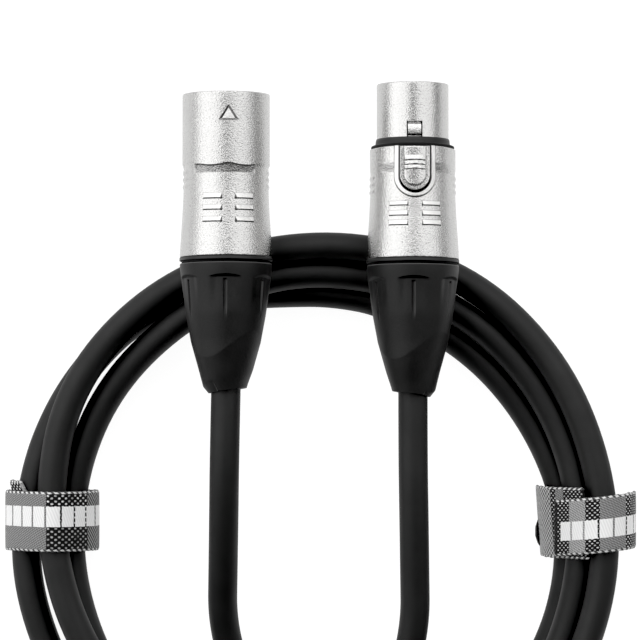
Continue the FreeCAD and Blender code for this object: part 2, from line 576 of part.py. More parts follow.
T = num(D.tie_thickness)
for label, y, outer_x, middle in (("left_tie", D.left_tie_y, D.left_tie_outer, 180.0), ("right_tie", D.right_tie_y, D.right_tie_outer, 0.0)):
    # the band's inside clears the turns over its whole width
    at = [a for a, _ in TURNS].index(-180 if middle > 90 else 0)
    here = corners(reach(TURNS[at][1], CR))
    reaches = [-1e9] * 8
    for near in (TURNS[at - 1], TURNS[(at + 1) % len(TURNS)]):
        for (x0, z0), (x1, z1) in zip(here, corners(reach(near[1], CR))):
            x, z = x0 + (x1 - x0) * 0.7, z0 + (z1 - z0) * 0.7
            for px, pz in ((x0, z0), (x0 * 0.987, z0), (x, z), (x * math.cos(math.radians(10.0)), z)):
                for k, t in enumerate(SIDES):
                    reaches[k] = max(reaches[k], px * math.cos(t) + pz * math.sin(t))
    inner = [r + num(D.tie_gap) for r in reaches]
    inner[0] = num(outer_x) - T
    inner[4] = -(num(D.tie_inner) + T)
    inner[6] = -T
    inner[7] = (inner[0] + inner[6]) / math.sqrt(2.0) - 0.6
    inner[5] = (inner[4] + inner[6]) / math.sqrt(2.0) - 0.6
    band = [corners([r + T for r in inner]), corners(inner)]
    tie = new_body(label)
    push(tie, "Pad", "band", sketch(tie, "band_sk", "XZ_Plane", band), D.tie_width, both=True)
    put(tie, None, (0, num(y), 0), Rotation(Vector(0, 0, 1), middle))

# ---------------------------------------------------------------- checks and output

doc.recompute()
for obj in doc.Objects:
    if "Invalid" in obj.State or "Error" in obj.State:
        raise RuntimeError("%s is %s" % (obj.Label, obj.State))
for obj in placed:
    if obj.Shape.isNull() or not obj.Shape.isValid() or len(obj.Shape.Solids) < 1:
        raise RuntimeError("%s has no valid shape" % obj.Label)
    if obj.Shape.Volume <= 0:
        raise RuntimeError("%s has volume %s" % (obj.Label, obj.Shape.Volume))
total = 0.0
for obj in placed:
    obj.Shape.exportStep("parts/%s.step" % obj.Label)
    total += obj.Shape.Volume
    box = obj.Shape.BoundBox
    print("%-24s %9.1f mm3  x %.1f %.1f  y %.1f %.1f  z %.1f %.1f  solids %d" % (
        obj.Label, obj.Shape.Volume, box.XMin, box.XMax, box.YMin, box.YMax, box.ZMin, box.ZMax, len(obj.Shape.Solids)))
print("%d sub-parts, %.0f mm3" % (len(placed), total))
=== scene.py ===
import math

import bmesh
import bpy
import numpy as np
from mathutils import Matrix, Vector


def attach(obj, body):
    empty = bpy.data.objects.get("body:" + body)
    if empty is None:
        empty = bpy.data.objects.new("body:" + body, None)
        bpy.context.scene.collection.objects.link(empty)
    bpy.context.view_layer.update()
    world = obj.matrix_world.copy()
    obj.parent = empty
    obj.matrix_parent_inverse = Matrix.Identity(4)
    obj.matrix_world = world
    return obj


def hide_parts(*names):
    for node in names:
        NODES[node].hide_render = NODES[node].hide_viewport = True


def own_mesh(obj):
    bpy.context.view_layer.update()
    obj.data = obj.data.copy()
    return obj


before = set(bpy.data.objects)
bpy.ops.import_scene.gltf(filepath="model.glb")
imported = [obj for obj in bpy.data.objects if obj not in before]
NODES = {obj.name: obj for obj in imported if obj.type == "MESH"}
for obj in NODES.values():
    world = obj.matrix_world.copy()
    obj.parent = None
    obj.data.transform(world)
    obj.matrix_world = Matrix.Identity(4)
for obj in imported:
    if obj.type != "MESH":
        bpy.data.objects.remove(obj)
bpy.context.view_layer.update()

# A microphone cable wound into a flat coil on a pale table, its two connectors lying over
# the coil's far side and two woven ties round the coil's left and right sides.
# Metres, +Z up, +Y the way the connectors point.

MM = 0.001
SCENE = bpy.context.scene


def link(obj):
    SCENE.collection.objects.link(obj)
    return obj


# ---------------------------------------------------------------- camera

cam_data = bpy.data.cameras.new("camera")
cam_data.sensor_width = 36.0
cam_data.lens = 249.1
cam_data.clip_start = 0.05
cam_data.clip_end = 20.0
camera = link(bpy.data.objects.new("camera", cam_data))
camera.location = (0.0, 0.0, 1.0)
SCENE.camera = camera

# ---------------------------------------------------------------- cord

# The route's points, in millimetres: out of the male boot, round the coil, into the female boot.
MALE_LEAD = [
    (-20.70, -15.96, 26.45), (-21.0, -30.0, 27.19), (-21.2, -43.0, 24.0), (-21.5, -55.0, 18.0), (-21.8, -66.9, 12.0),
    (-19.0, -78.4, 8.0), (-12.5, -88.9, 5.7), (-2.7, -96.5, 4.5), (9.0, -100.3, 3.7), (21.40, -99.90, 3.25), (32.90, -95.20, 3.40)]
TURNS = [
    (44.53, -85.87, 3.25), (55.06, -65.60, 4.02), (56.44, -43.07, 5.15), (48.29, -22.61, 3.51), (34.20, -6.27, 3.25),
    (15.29, 3.78, 3.30), (2.87, 6.21, 3.25), (-8.16, 6.11, 3.25), (-18.62, 5.57, 3.25), (-30.18, 4.83, 3.25),
    (-41.14, 0.53, 3.25), (-50.64, -8.22, 3.30), (-58.80, -19.83, 3.90), (-64.53, -34.78, 4.60), (-66.93, -57.24, 4.67),
    (-58.23, -82.37, 3.25), (-40.26, -101.79, 3.42), (-16.25, -112.12, 3.25), (9.39, -111.94, 3.91), (32.25, -101.83, 8.33),
    (48.84, -84.11, 9.73), (57.82, -62.22, 10.57), (58.78, -38.77, 11.15), (50.80, -16.64, 8.13), (34.66, 0.82, 7.48),
    (12.85, 10.07, 7.60), (-10.85, 10.72, 9.25), (-31.92, 0.44, 10.10), (-48.18, -15.88, 5.60), (-56.29, -37.12, 4.66),
    (-56.05, -59.75, 4.46), (-48.00, -80.99, 3.97), (-32.77, -98.64, 5.95), (-11.27, -109.79, 9.45), (13.68, -111.12, 11.45),
    (37.38, -101.75, 15.04), (55.07, -83.16, 14.26), (63.77, -59.11, 14.89), (62.66, -33.69, 15.20), (53.20, -9.84, 11.43),
    (34.71, 8.81, 9.11), (9.75, 17.04, 10.60), (-16.26, 15.38, 11.72), (-39.78, 4.29, 10.00), (-56.50, -15.61, 10.40),
    (-60.99, -40.48, 9.69), (-57.40, -64.16, 10.70), (-45.81, -84.29, 10.73)]
FEMALE_LEAD = [
    (-33.40, -95.30, 12.41), (-21.9, -100.0, 12.65), (-9.5, -100.4, 13.1), (2.2, -96.5, 14.2), (12.0, -88.9, 15.85),
    (18.6, -78.4, 17.95), (21.1, -66.9, 20.45), (20.9, -55.5, 22.85), (20.7, -43.5, 24.85), (20.45, -30.5, 26.24),
    (20.45, -16.36, 25.5)]
ROUTE = MALE_LEAD + TURNS + FEMALE_LEAD

curve = bpy.data.curves.new("cable", "CURVE")
curve.dimensions = "3D"
curve.resolution_u = 10
curve.bevel_depth = 1.0
curve.bevel_resolution = 9
curve.use_fill_caps = True
spline = curve.splines.new("NURBS")
spline.points.add(len(ROUTE) - 1)
for point, (x, y, z) in zip(spline.points, ROUTE):
    point.co = (x * MM, y * MM, z * MM, 1.0)
    point.radius = 3.25 * MM
spline.order_u = 3
spline.use_endpoint_u = True
cable = link(bpy.data.objects.new("cable", curve))
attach(cable, "cable")
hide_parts("cable_coil", "male_lead", "female_lead")

# ---------------------------------------------------------------- materials


class Look:
    """A material with its nodes, and short ways to add more."""

    def __init__(self, name, metallic=0.0, specular=0.5):
        self.material = bpy.data.materials.new(name)
        self.material.use_nodes = True
        self.tree = self.material.node_tree
        self.shader = next(n for n in self.tree.nodes if n.type == "BSDF_PRINCIPLED")
        self.shader.inputs["Metallic"].default_value = metallic
        self.shader.inputs["Specular IOR Level"].default_value = specular
        self.at = self.add("ShaderNodeTexCoord").outputs["Object"]

    def add(self, kind, **props):
        node = self.tree.nodes.new(kind)
        for k, v in props.items():
            setattr(node, k, v)
        return node

    def put(self, socket, value):
        if isinstance(value, bpy.types.NodeSocket):
            self.tree.links.new(value, socket)
        elif isinstance(value, (tuple, list)) and len(value) == 3 and socket.type == "RGBA":
            socket.default_value = (*value, 1.0)
        else:
            socket.default_value = value

    def math(self, op, a, b=0.0, c=0.0, clamp=False):
        node = self.add("ShaderNodeMath", operation=op, use_clamp=clamp)
        for socket, value in zip(node.inputs, (a, b, c)):
            self.put(socket, value)
        return node.outputs[0]

    def noise(self, scale, detail=2.0, rough=0.5, vector=None, stretch=None):
        vector = vector or self.at
        if stretch:
            m = self.add("ShaderNodeMapping")
            m.inputs["Scale"].default_value = stretch
            self.put(m.inputs["Vector"], vector)
            vector = m.outputs[0]
        n = self.add("ShaderNodeTexNoise")
        self.put(n.inputs["Vector"], vector)
        n.inputs["Scale"].default_value = scale
        n.inputs["Detail"].default_value = detail
        n.inputs["Roughness"].default_value = rough
        return n.outputs["Fac"]

    def between(self, value, a, b, low=0.0, high=1.0):
        m = self.add("ShaderNodeMapRange")
        for socket, v in zip(m.inputs, (value, a, b, low, high)):
            self.put(socket, v)
        return m.outputs[0]

    def mix(self, factor, a, b):
        m = self.add("ShaderNodeMix", data_type="RGBA")
        self.put(m.inputs["Factor"], factor)
        self.put(m.inputs["A"], a)
        self.put(m.inputs["B"], b)
        return m.outputs["Result"]

    def bump(self, height, distance, strength=1.0, under=None):
        b = self.add("ShaderNodeBump")
        b.inputs["Strength"].default_value = strength
        b.inputs["Distance"].default_value = distance
        self.put(b.inputs["Height"], height)
        if under is not None:
            self.put(b.inputs["Normal"], under)
        return b.outputs[0]

    def finish(self, colour, rough, normal=None):
        self.put(self.shader.inputs["Base Color"], colour)
        self.put(self.shader.inputs["Roughness"], rough)
        if normal is not None:
            self.put(self.shader.inputs["Normal"], normal)
        return self.material


def grey(v):
    return (v, v, v)


def nickel(name="nickel", base=0.54, rough=0.17, speckle=1.0):
    """Bead-blasted nickel plate: soft reflections that break into fine dark and light grains. One point attribute
    paints shade into corners and engraved lines; another dulls the gloss of some faces and paints them pale, a painted
    highlight."""
    k = Look(name, metallic=1.0)
    grain = k.noise(2900.0, 2.0, 0.6)
    pits = k.noise(3300.0, 1.0, 0.5)
    cloud = k.noise(160.0, 3.0, 0.55)
    painted_shade = k.add("ShaderNodeAttribute", attribute_name="painted_shade").outputs["Fac"]
    matt_painted_highlight = k.add("ShaderNodeAttribute", attribute_name="matt_painted_highlight").outputs["Fac"]
    tone = k.math("MULTIPLY_ADD", grain, 0.08, base - 0.04)
    tone = k.math("MULTIPLY_ADD", cloud, 0.05, k.math("SUBTRACT", tone, 0.025))
    tone = k.math("MULTIPLY", tone, k.between(pits, 0.56, 0.72, 1.0, 1.0 - 0.18 * speckle))
    # Painted highlight: marked faces are lifted towards a pale grey.
    tone = k.math("MULTIPLY_ADD", matt_painted_highlight, k.math("SUBTRACT", 0.80, tone), tone)
    # Painted shade: marked corners and lines go nearly black.
    tone = k.math("MULTIPLY", tone, k.between(painted_shade, 0.0, 1.0, 1.0, 0.06))
    colour = k.add("ShaderNodeCombineColor")
    for i, t in enumerate((1.0, 0.995, 0.985)):
        k.put(colour.inputs[i], k.math("MULTIPLY", tone, t))
    r = k.between(grain, 0.3, 0.7, rough - 0.03, rough + 0.05)
    r = k.math("MULTIPLY_ADD", matt_painted_highlight, k.math("SUBTRACT", 0.50, r), r)
    n = k.bump(grain, 0.000105 * speckle)
    return k.finish(colour.outputs[0], r, n)


def moulded(name, base, rough, grain_scale=2600.0, depth=0.000012, tint=(1.0, 1.0, 1.0), cloudy=0.25, specular=0.5):
    """Moulded plastic: a fine erosion grain, a little dust, slightly uneven gloss, painted shade (with a rougher gloss)
    in its corners, painted highlights on some edges.
    """
    k = Look(name, specular=specular)
    grain = k.noise(grain_scale, 2.0, 0.6)
    cloud = k.noise(120.0, 3.0, 0.6)
    tone = k.math("MULTIPLY", k.between(cloud, 0.3, 0.7, 1.0 - cloudy, 1.0 + cloudy), base)
    painted_shade = k.add("ShaderNodeAttribute", attribute_name="painted_shade").outputs["Fac"]
    # Painted shade where the attribute marks corners.
    tone = k.math("MULTIPLY", tone, k.between(painted_shade, 0.0, 1.0, 1.0, 0.1))
    painted_edge_light = k.add("ShaderNodeAttribute", attribute_name="painted_edge_light").outputs["Fac"]
    # Painted highlight where the attribute marks lit edges.
    tone = k.math("MULTIPLY_ADD", painted_edge_light, 0.055, tone)
    colour = k.add("ShaderNodeCombineColor")
    for i, t in enumerate(tint):
        k.put(colour.inputs[i], k.math("MULTIPLY", tone, t))
    r = k.between(k.noise(240.0, 2.0), 0.3, 0.7, rough - 0.04, rough + 0.05)
    r = k.math("MULTIPLY_ADD", painted_shade, 0.45, r, clamp=True)
    return k.finish(colour.outputs[0], r, k.bump(grain, depth))


def jacket(name="cable_jacket"):
    """Matt soft PVC over a lapped shield: fine skin grain and a faint unevenness along the cable."""
    k = Look(name, specular=0.42)
    skin = k.noise(2400.0, 2.0, 0.6)
    lay = k.noise(300.0, 2.0, 0.5)
    tone = k.between(k.noise(90.0, 3.0), 0.3, 0.7, 0.0075, 0.0115)
    colour = k.add("ShaderNodeCombineColor")
    for i in range(3):
        k.put(colour.inputs[i], tone)
    r = k.between(k.noise(150.0, 2.0), 0.3, 0.7, 0.54, 0.62)
    n = k.bump(lay, 0.000045)
    n = k.bump(skin, 0.000006, under=n)
    return k.finish(colour.outputs[0], r, n)


NICKEL = nickel()
NICKEL_SMOOTH = nickel("nickel_smooth", 0.53, 0.17, 0.75)
BLACK_RING = moulded("ring_plastic", 0.005, 0.42, 2600.0, 0.000008)
BOOT = moulded("boot_plastic", 0.0085, 0.50, 1900.0, 0.000030, cloudy=0.3, specular=0.38)
INSERT = moulded("insert_plastic", 0.022, 0.45)
CHUCK = moulded("chuck_plastic", 0.30, 0.5, tint=(1.0, 0.99, 0.96))
JACKET = jacket()
cable.data.materials.append(JACKET)

# ---------------------------------------------------------------- mesh helpers

SIDES = {"male": ((-20.70, 13.70, 24.90), 4.5), "female": ((20.45, 13.30, 23.95), 2.0)}


def place(side):
    """From a connector's own millimetres, +Z to its nose and -Y up, to the row frame."""
    base, spin = SIDES[side]
    return (Matrix.Translation(Vector(base) * MM) @ Matrix.Rotation(math.radians(-93.0), 4, "X")
            @ Matrix.Rotation(math.radians(spin), 4, "Z") @ Matrix.Scale(MM, 4))


def smooth(a, b, x):
    t = np.clip((x - a) / (b - a), 0.0, 1.0)
    return t * t * (3.0 - 2.0 * t)


def table(points, blur=0.8, lo=-40.0, hi=45.0, step=0.05):
    """A profile (z, r) as a function, its kinks rounded over about the given distance."""
    zs, rs = zip(*points)
    grid = np.arange(lo, hi, step)
    base = np.interp(grid, zs, rs)
    n = int(3 * blur / step)
    kernel = np.exp(-0.5 * (np.arange(-n, n + 1) * step / blur) ** 2)
    kernel /= kernel.sum()
    soft = np.convolve(np.pad(base, n, mode="edge"), kernel, mode="valid")
    return lambda z: np.interp(z, grid, soft)


def columns(*bands, coarse=3.0):
    """Angles round a turned piece, in degrees: (from, to, step) bands, and a coarse step elsewhere."""
    marks = set()
    for a, b, step in bands:
        n = max(1, int(round((b - a) / step)))
        marks.update(round(a + (b - a) * i / n, 4) for i in range(n + 1))
    inside = lambda t: any(a < t < b for a, b, _ in bands)
    marks.update(t for t in (round(-180.0 + coarse * i, 4) for i in range(int(360 / coarse))) if not inside(t))
    out = []
    for t in sorted(m for m in marks if -180.0 <= m < 180.0):
        if not out or t - out[-1] > 0.02:
            out.append(t)
    return np.array(out)


def spread(*marks):
    """Heights from (start, step) marks: each run is divided evenly up to the next mark."""
    out = []
    for (a, step), (b, _) in zip(marks, marks[1:]):
        n = max(1, int(math.ceil((b - a) / step - 1e-6)))
        out += [a + (b - a) * i / n for i in range(n)]
    return np.array(out + [marks[-1][0]])


def make(name, points, faces, material, sharp=32.0, matrix=None):
    mesh = bpy.data.meshes.new(name)
    mesh.from_pydata([tuple(p) for p in points], [], [tuple(f) for f in faces])
    if matrix is not None:
        mesh.transform(matrix)
    bm = bmesh.new()
    bm.from_mesh(mesh)
    bmesh.ops.recalc_face_normals(bm, faces=bm.faces)
    bm.to_mesh(mesh)
    bm.free()
    finish_mesh(mesh, sharp)
    mesh.materials.append(material)
    return link(bpy.data.objects.new(name, mesh))


def finish_mesh(mesh, sharp):
    mesh.polygons.foreach_set("use_smooth", [True] * len(mesh.polygons))
    mesh.set_sharp_from_angle(angle=math.radians(sharp))
    mesh.update()


def mark(obj, **fields):
    """Stores numbers on a mesh's points, for its material to read."""
    for key, values in fields.items():
        data = obj.data.attributes.new(key, "FLOAT", "POINT")
        data.data.foreach_set("value", np.ascontiguousarray(values, dtype=np.float32).ravel())
    return obj


def turned(name, cols, rows, radius, tail, material, warp=None, matrix=None, sharp=32.0, painted_shade=None, matt_painted_highlight=None, painted_edge_light=None):
    """A closed turned wall: outside radius(angle, z) on the rows, closed by the (r, z) tail."""
    th, z0 = np.meshgrid(cols, rows)
    marks = {}
    for key, field in (("painted_shade", painted_shade), ("matt_painted_highlight", matt_painted_highlight), ("painted_edge_light", painted_edge_light)):
        if field is not None:
            marks[key] = np.vstack([np.broadcast_to(field(th, z0), th.shape), np.zeros((len(tail), len(cols)))])
    r = radius(th, z0) if callable(radius) else np.interp(z0, *radius)
    z = z0 + (warp(th, z0) if warp else 0.0)
    for tr, tz in tail:
        r = np.vstack([r, np.full(len(cols), float(tr))])
        z = np.vstack([z, np.full(len(cols), float(tz))])
        th = np.vstack([th, cols])
    a = np.radians(th)
    pts = np.stack([r * np.sin(a), -r * np.cos(a), z], axis=-1).reshape(-1, 3)
    m, n = r.shape
    i, j = np.meshgrid(np.arange(m), np.arange(n), indexing="ij")
    i2, j2 = (i + 1) % m, (j + 1) % n
    faces = np.stack([i * n + j, i * n + j2, i2 * n + j2, i2 * n + j], axis=-1).reshape(-1, 4)
    return mark(make(name, pts, faces, material, sharp, matrix), **marks)


def boolean(obj, cutter, operation="DIFFERENCE", sharp=32.0):
    mod = obj.modifiers.new("cut", "BOOLEAN")
    mod.operation = operation
    mod.solver = "EXACT"
    mod.object = cutter
    bpy.context.view_layer.update()
    mesh = bpy.data.meshes.new_from_object(obj.evaluated_get(bpy.context.evaluated_depsgraph_get()))
    obj.modifiers.remove(mod)
    old = obj.data
    obj.data = mesh
    mesh.name = old.name
    bpy.data.meshes.remove(old)
    bpy.data.objects.remove(cutter)
    finish_mesh(mesh, sharp)
    return obj


def prism(outline, lo, hi, matrix, name="cutter"):
    """A straight prism: outline of (x, z) points, from y = lo to y = hi."""
    n = len(outline)
    pts = [(x, lo, z) for x, z in outline] + [(x, hi, z) for x, z in outline]
    faces = [list(range(n)), list(range(2 * n - 1, n - 1, -1))] + [[i, i + n, (i + 1) % n + n, (i + 1) % n] for i in range(n)]
    return make(name, pts, faces, NICKEL, matrix=matrix)


def stadium(half, centre, top, steps=24):
    """Straight sides, a flat top and a round lower end."""
    arc = [(half * math.cos(math.pi + math.pi * i / steps), centre + half * math.sin(math.pi + math.pi * i / steps))
           for i in range(steps + 1)]
    return arc + [(half, top), (-half, top)]


# ---------------------------------------------------------------- shells

FLARE = table([(-2.0, 10.22), (0.5, 10.2), (4.0, 9.98), (9.5, 9.62), (14.5, 9.38), (18.3, 9.34), (45.0, 9.34)], 1.0)


def bars(th, z, rows, proud=0.40, inner=8.7, outer=35.9):
    """Grip bars: each rises from nothing at its front edge to its rear edge, and drops there."""
    a = np.abs(th)
    up = np.zeros_like(z)
    for lo, hi in rows:
        up = np.maximum(up, np.clip((hi - z) / (hi - lo), 0.0, 1.0) * smooth(lo - 0.20, lo, z))
    out = outer - 1.5 * up
    side = smooth(inner - 0.1, inner + 0.5, a) * (1.0 - smooth(out - 0.5, out + 0.1, a))
    return proud * up * side


def bar_painted_shade(th, z, rows, inner=8.7, outer=35.9, wedge=0.42, front=0.28, rear_shade=0.9):
    """Painted shade along each bar's rear edge, a painted dark wedge at its inner end, thin painted lines at its front
    and right.
    """
    x = np.radians(np.abs(th) - inner) * 9.6
    dark = np.zeros_like(z)
    for lo, hi in rows:
        t = np.clip((hi - z) / (hi - lo), 0.0, 1.0)
        within = (z > lo - 0.30) & (z < hi + 0.06)
        far = np.radians(outer - 1.5 * t - np.abs(th)) * 9.6
        reach = (x > -0.15) & (far > -0.10) & within
        rear = smooth(lo - 0.24, lo - 0.16, z) * (1.0 - smooth(lo - 0.02, lo + 0.06, z)) * rear_shade
        top = front * (1.0 - smooth(0.03, 0.12, np.abs(z - hi)))
        end = (1.0 - smooth(wedge * t - 0.08, wedge * t + 0.04, x)) * smooth(-0.12, 0.0, x) * 0.85
        last = (1.0 - smooth(0.10, 0.22, far)) * np.where(th > 0, 0.75, 0.30) * t
        dark = np.maximum(dark, np.maximum(np.maximum(rear, top), np.maximum(end, last)) * reach)
    return dark


def bar_matt_painted_highlight(th, z, rows, inner=8.7, outer=35.9):
    # Painted highlight: the bar tops are painted pale and their gloss dulled.
    x = np.radians(np.abs(th) - inner) * 9.6
    far = np.radians(outer - np.abs(th)) * 9.6
    on = np.zeros_like(z)
    for lo, hi in rows:
        on = np.maximum(on, smooth(lo, lo + 0.08, z) * (1.0 - smooth(hi - 0.1, hi, z)))
    return on * smooth(0.1, 0.3, x) * smooth(0.1, 0.2, far)


def side_ridges(th, z, heights, height=0.2):
    """Three small waves low on each flank."""
    a = np.abs(np.abs(th) - 90.0)
    m = 1.0 - smooth(17.0, 24.0, a)
    up = np.zeros_like(z)
    for zc in heights:
        up = np.maximum(up, np.cos(np.clip((z - zc) / 0.72, -1.0, 1.0) * 0.5 * math.pi) ** 2)
    return height * up * m


def step_edge(x):
    return 19.86 + 0.48 * np.exp(-(x / 1.9) ** 2) + 0.30 * smooth(4.0, 6.6, np.abs(x))


def step_warp(th, z):
    x = 9.5 * np.sin(np.radians(np.clip(th, -60, 60)))
    return (step_edge(x) - 19.68) * smooth(18.3, 19.55, z) * (1.0 - smooth(19.85, 23.0, z))


MALE_BARS = [(12.59, 13.68), (10.10, 11.08), (7.50, 8.50)]


ARROW = [(-1.86, 29.72), (1.86, 29.72), (0.0, 32.62)]


def arrow_gap(x, z):
    """Distance from the arrow's outline, and whether inside it."""
    d = np.full_like(x, 1e3)
    inside = np.ones_like(x, dtype=bool)
    for (x0, z0), (x1, z1) in zip(ARROW, ARROW[1:] + ARROW[:1]):
        t = np.clip(((x - x0) * (x1 - x0) + (z - z0) * (z1 - z0)) / ((x1 - x0) ** 2 + (z1 - z0) ** 2), 0.0, 1.0)
        d = np.minimum(d, np.hypot(x - x0 - t * (x1 - x0), z - z0 - t * (z1 - z0)))
        inside &= (x1 - x0) * (z - z0) - (z1 - z0) * (x - x0) > 0.0
    return d, inside


def step_sides(th):
    return smooth(-51.0, -42.0, th) * (1.0 - smooth(31.0, 40.0, th))


def male_radius(th, z):
    m = step_sides(th)
    r = FLARE(z) + 0.32 * smooth(18.1, 19.1, z - 0.9 * (1.0 - m))
    # the rounded rim
    t = np.clip((z - 35.75) / 0.25, 0.0, 1.0)
    r = r - 0.22 * (1.0 - np.sqrt(1.0 - t * t))
    t = np.clip((0.3 - z) / 0.3, 0.0, 1.0)
    r = r - 0.12 * (1.0 - np.sqrt(1.0 - t * t))
    # the sunk step across the upper side: an overhanging edge, then a floor that falls away to the rear
    low = 8.98 + 0.32 * np.clip((z - 18.28) / (19.36 - 18.28), 0.0, 1.0) + 0.36 * smooth(19.36, 19.68, z)
    s = smooth(18.16, 18.24, z) * (1.0 - smooth(19.66, 19.70, z))
    r = r * (1.0 - m * s) + low * m * s
    r = r + side_ridges(th, z, (15.5, 17.06, 18.5)) + bars(th, z, MALE_BARS)
    # the arrow: an engraved triangle outline
    x = 9.66 * np.sin(np.radians(th))
    d, inside = arrow_gap(x, z)
    return r - 0.20 * (1.0 - smooth(0.10, 0.26, d)) * (np.abs(th) < 30.0)


def male_painted_shade(th, z):
    # Painted shade: a dark line under the step's overhanging edge, a lighter band on the sunk floor below it (deeper on
    # the left and at its ends), the arrow's outline (darkest on its left stroke), the rear seam, and round the grip
    # bars.
    m = step_sides(th)
    x = 9.66 * np.sin(np.radians(th))
    m = np.minimum(1.0, 5.0 * m)
    edge = m * smooth(19.32, 19.46, z) * (1.0 - smooth(19.68, 19.73, z)) * 0.72
    floor_ = m * smooth(18.2, 18.3, z) * (1.0 - smooth(19.3, 19.4, z)) * (
        0.10 + 0.12 * smooth(18.3, 19.3, z) + 0.20 * (1.0 - smooth(-30.0, -8.0, th)) + 0.20 * (1.0 - smooth(0.1, 0.9, step_sides(th))))
    d, inside = arrow_gap(x, z)
    stroke = np.where(z < 29.9, 0.45, np.where(x < 0, 0.92, 0.72)) * (1.0 - smooth(0.13, 0.25, d)) * (np.abs(th) < 30.0)
    seam = 0.5 * (1.0 - smooth(0.0, 0.25, z))
    return np.maximum.reduce([edge, floor_, stroke, seam, bar_painted_shade(th, z, MALE_BARS)])


def male_matt_painted_highlight(th, z):
    # Painted highlight: the arrow's face and the bar tops are painted pale and their gloss dulled.
    x = 9.66 * np.sin(np.radians(th))
    d, inside = arrow_gap(x, z)
    return np.maximum(inside * smooth(0.12, 0.25, d) * (np.abs(th) < 30.0) * 0.8, bar_matt_painted_highlight(th, z, MALE_BARS))


BAR_COLS = [(-36.3, -34.3, 0.25), (-12.3, -7.9, 0.22), (7.9, 12.3, 0.22), (34.3, 36.3, 0.25)]


def bar_rows(rows, start, end, step=0.5):
    marks = [(start, step)]
    for lo, hi in sorted(rows):
        marks += [(lo - 0.34, 0.06), (lo + 0.14, 0.14), (hi - 0.14, 0.05), (hi + 0.14, step)]
    return marks + [(end, step)]


male_rows = np.concatenate([
    spread((0.0, 0.05), (0.3, 0.5), (6.9, 0.5))[:-1],
    spread(*bar_rows(MALE_BARS, 6.9, 14.2))[:-1],
    spread((14.2, 0.15), (18.0, 0.05), (18.35, 0.12), (19.2, 0.04), (19.85, 0.25), (23.0, 0.6), (29.2, 0.07), (33.0, 0.5), (35.75, 0.04), (36.0, 1.0))])
male_cols = columns((-50.0, -44.0, 0.5), (-44.0, -36.3, 1.0), *BAR_COLS, (-34.3, -12.3, 1.0), (-7.9, 7.9, 0.44), (12.3, 34.3, 1.0), (36.3, 44.0, 0.5),
                    (-116.0, -64.0, 2.0), (64.0, 116.0, 2.0))
male_shell = turned(
    "male_shell_plate", male_cols, male_rows, male_radius,
    [(8.55, 36.0), (8.3, 35.92), (8.12, 35.7), (8.1, 35.4), (8.1, 20.0), (8.1, 12.0), (8.7, 11.2), (8.7, 0.0), (9.4, 0.0), (9.9, 0.0)],
    NICKEL, step_warp, place("male"), painted_shade=male_painted_shade, matt_painted_highlight=male_matt_painted_highlight)
key = prism([(-1.0, 20.05), (1.0, 20.05), (1.0, 33.6), (0.6, 34.0), (-0.6, 34.0), (-1.0, 33.6)], 7.4, 8.35, place("male"))
boolean(male_shell, key, "UNION")
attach(male_shell, "cable")
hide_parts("male_shell")

FEMALE_BARS = [(11.45, 12.29), (9.25, 10.21), (7.15, 8.16)]


def u_rim(th, z, half, centre):
    x = 9.6 * np.sin(np.radians(np.clip(th, -90, 90)))
    d = np.where(z >= centre, np.abs(x), np.hypot(x, z - centre)) - half
    return np.where(np.abs(th) > 60.0, 1e3, d)


RIM = (4.6, 17.7)


def female_radius(th, z):
    r = FLARE(z)
    m = 1.0 - smooth(40.0, 60.0, np.abs(th))
    lift = 0.44 * smooth(18.3, 21.0, z)
    shoulder = np.where(z > 18.55, 9.04 + lift, 9.34)
    soft = smooth(18.40, 18.60, z)
    r = r * (1.0 - m * soft) + shoulder * m * soft + 0.12 * (1.0 - m) * smooth(18.6, 20.2, z)
    rim = 1.0 - smooth(-0.26, 0.02, u_rim(th, z, *RIM))
    top = 9.84 - 0.14 * smooth(20.5, 24.5, z)
    r = r * (1.0 - rim) + np.maximum(top, r) * rim
    r = r + side_ridges(th, z, (14.7, 16.2, 17.7)) + bars(th, z, FEMALE_BARS, 0.30, 9.5, 36.5)
    t = np.clip((z - 24.25) / 0.25, 0.0, 1.0)
    r = r - 0.20 * (1.0 - np.sqrt(1.0 - t * t))
    t = np.clip((0.3 - z) / 0.3, 0.0, 1.0)
    return r - 0.12 * (1.0 - np.sqrt(1.0 - t * t))


def collar_warp(th, z):
    """The shell's front edge and the ring's flange on it lie a little further back at the sides."""
    return -0.26 * smooth(20.0, 75.0, np.abs(th)) * (1.0 - smooth(150.0, 175.0, np.abs(th))) * smooth(22.5, 24.25, z) * (1.0 - smooth(25.0, 25.12, z))


def female_painted_shade(th, z):
    # Painted shade: a thin line round the button's collar and another inside it, a line under the shoulder's brow, a
    # faint patch on the sunk shoulders, the rear seam, and round the grip bars.
    d = u_rim(th, z, *RIM)
    front = 1.0 - smooth(20.4, 21.2, z) * 0.7
    line = 0.78 * (1.0 - smooth(0.06, 0.14, np.abs(d + 0.02))) * front
    m = (1.0 - smooth(34.0, 54.0, np.abs(th) - 8.0 * (th < 0.0))) * smooth(0.0, 0.1, d)
    foot = 0.0 * m
    brow = 0.50 * m * (1.0 - smooth(0.04, 0.16, np.abs(z - 20.62))) * (1.0 - smooth(0.3, 1.6, d))
    patch = 0.16 * m * smooth(18.5, 19.1, z) * (1.0 - smooth(20.1, 20.9, z))
    lip = 0.8 * (1.0 - smooth(0.03, 0.13, np.abs(d + 1.07))) * (z < 24.6)
    seam = 0.5 * (1.0 - smooth(0.0, 0.25, z))
    return np.maximum.reduce([line, foot, brow, patch, lip, seam, bar_painted_shade(th, z, FEMALE_BARS, 9.5, 36.5, 0.16, 0.35, 0.75)])


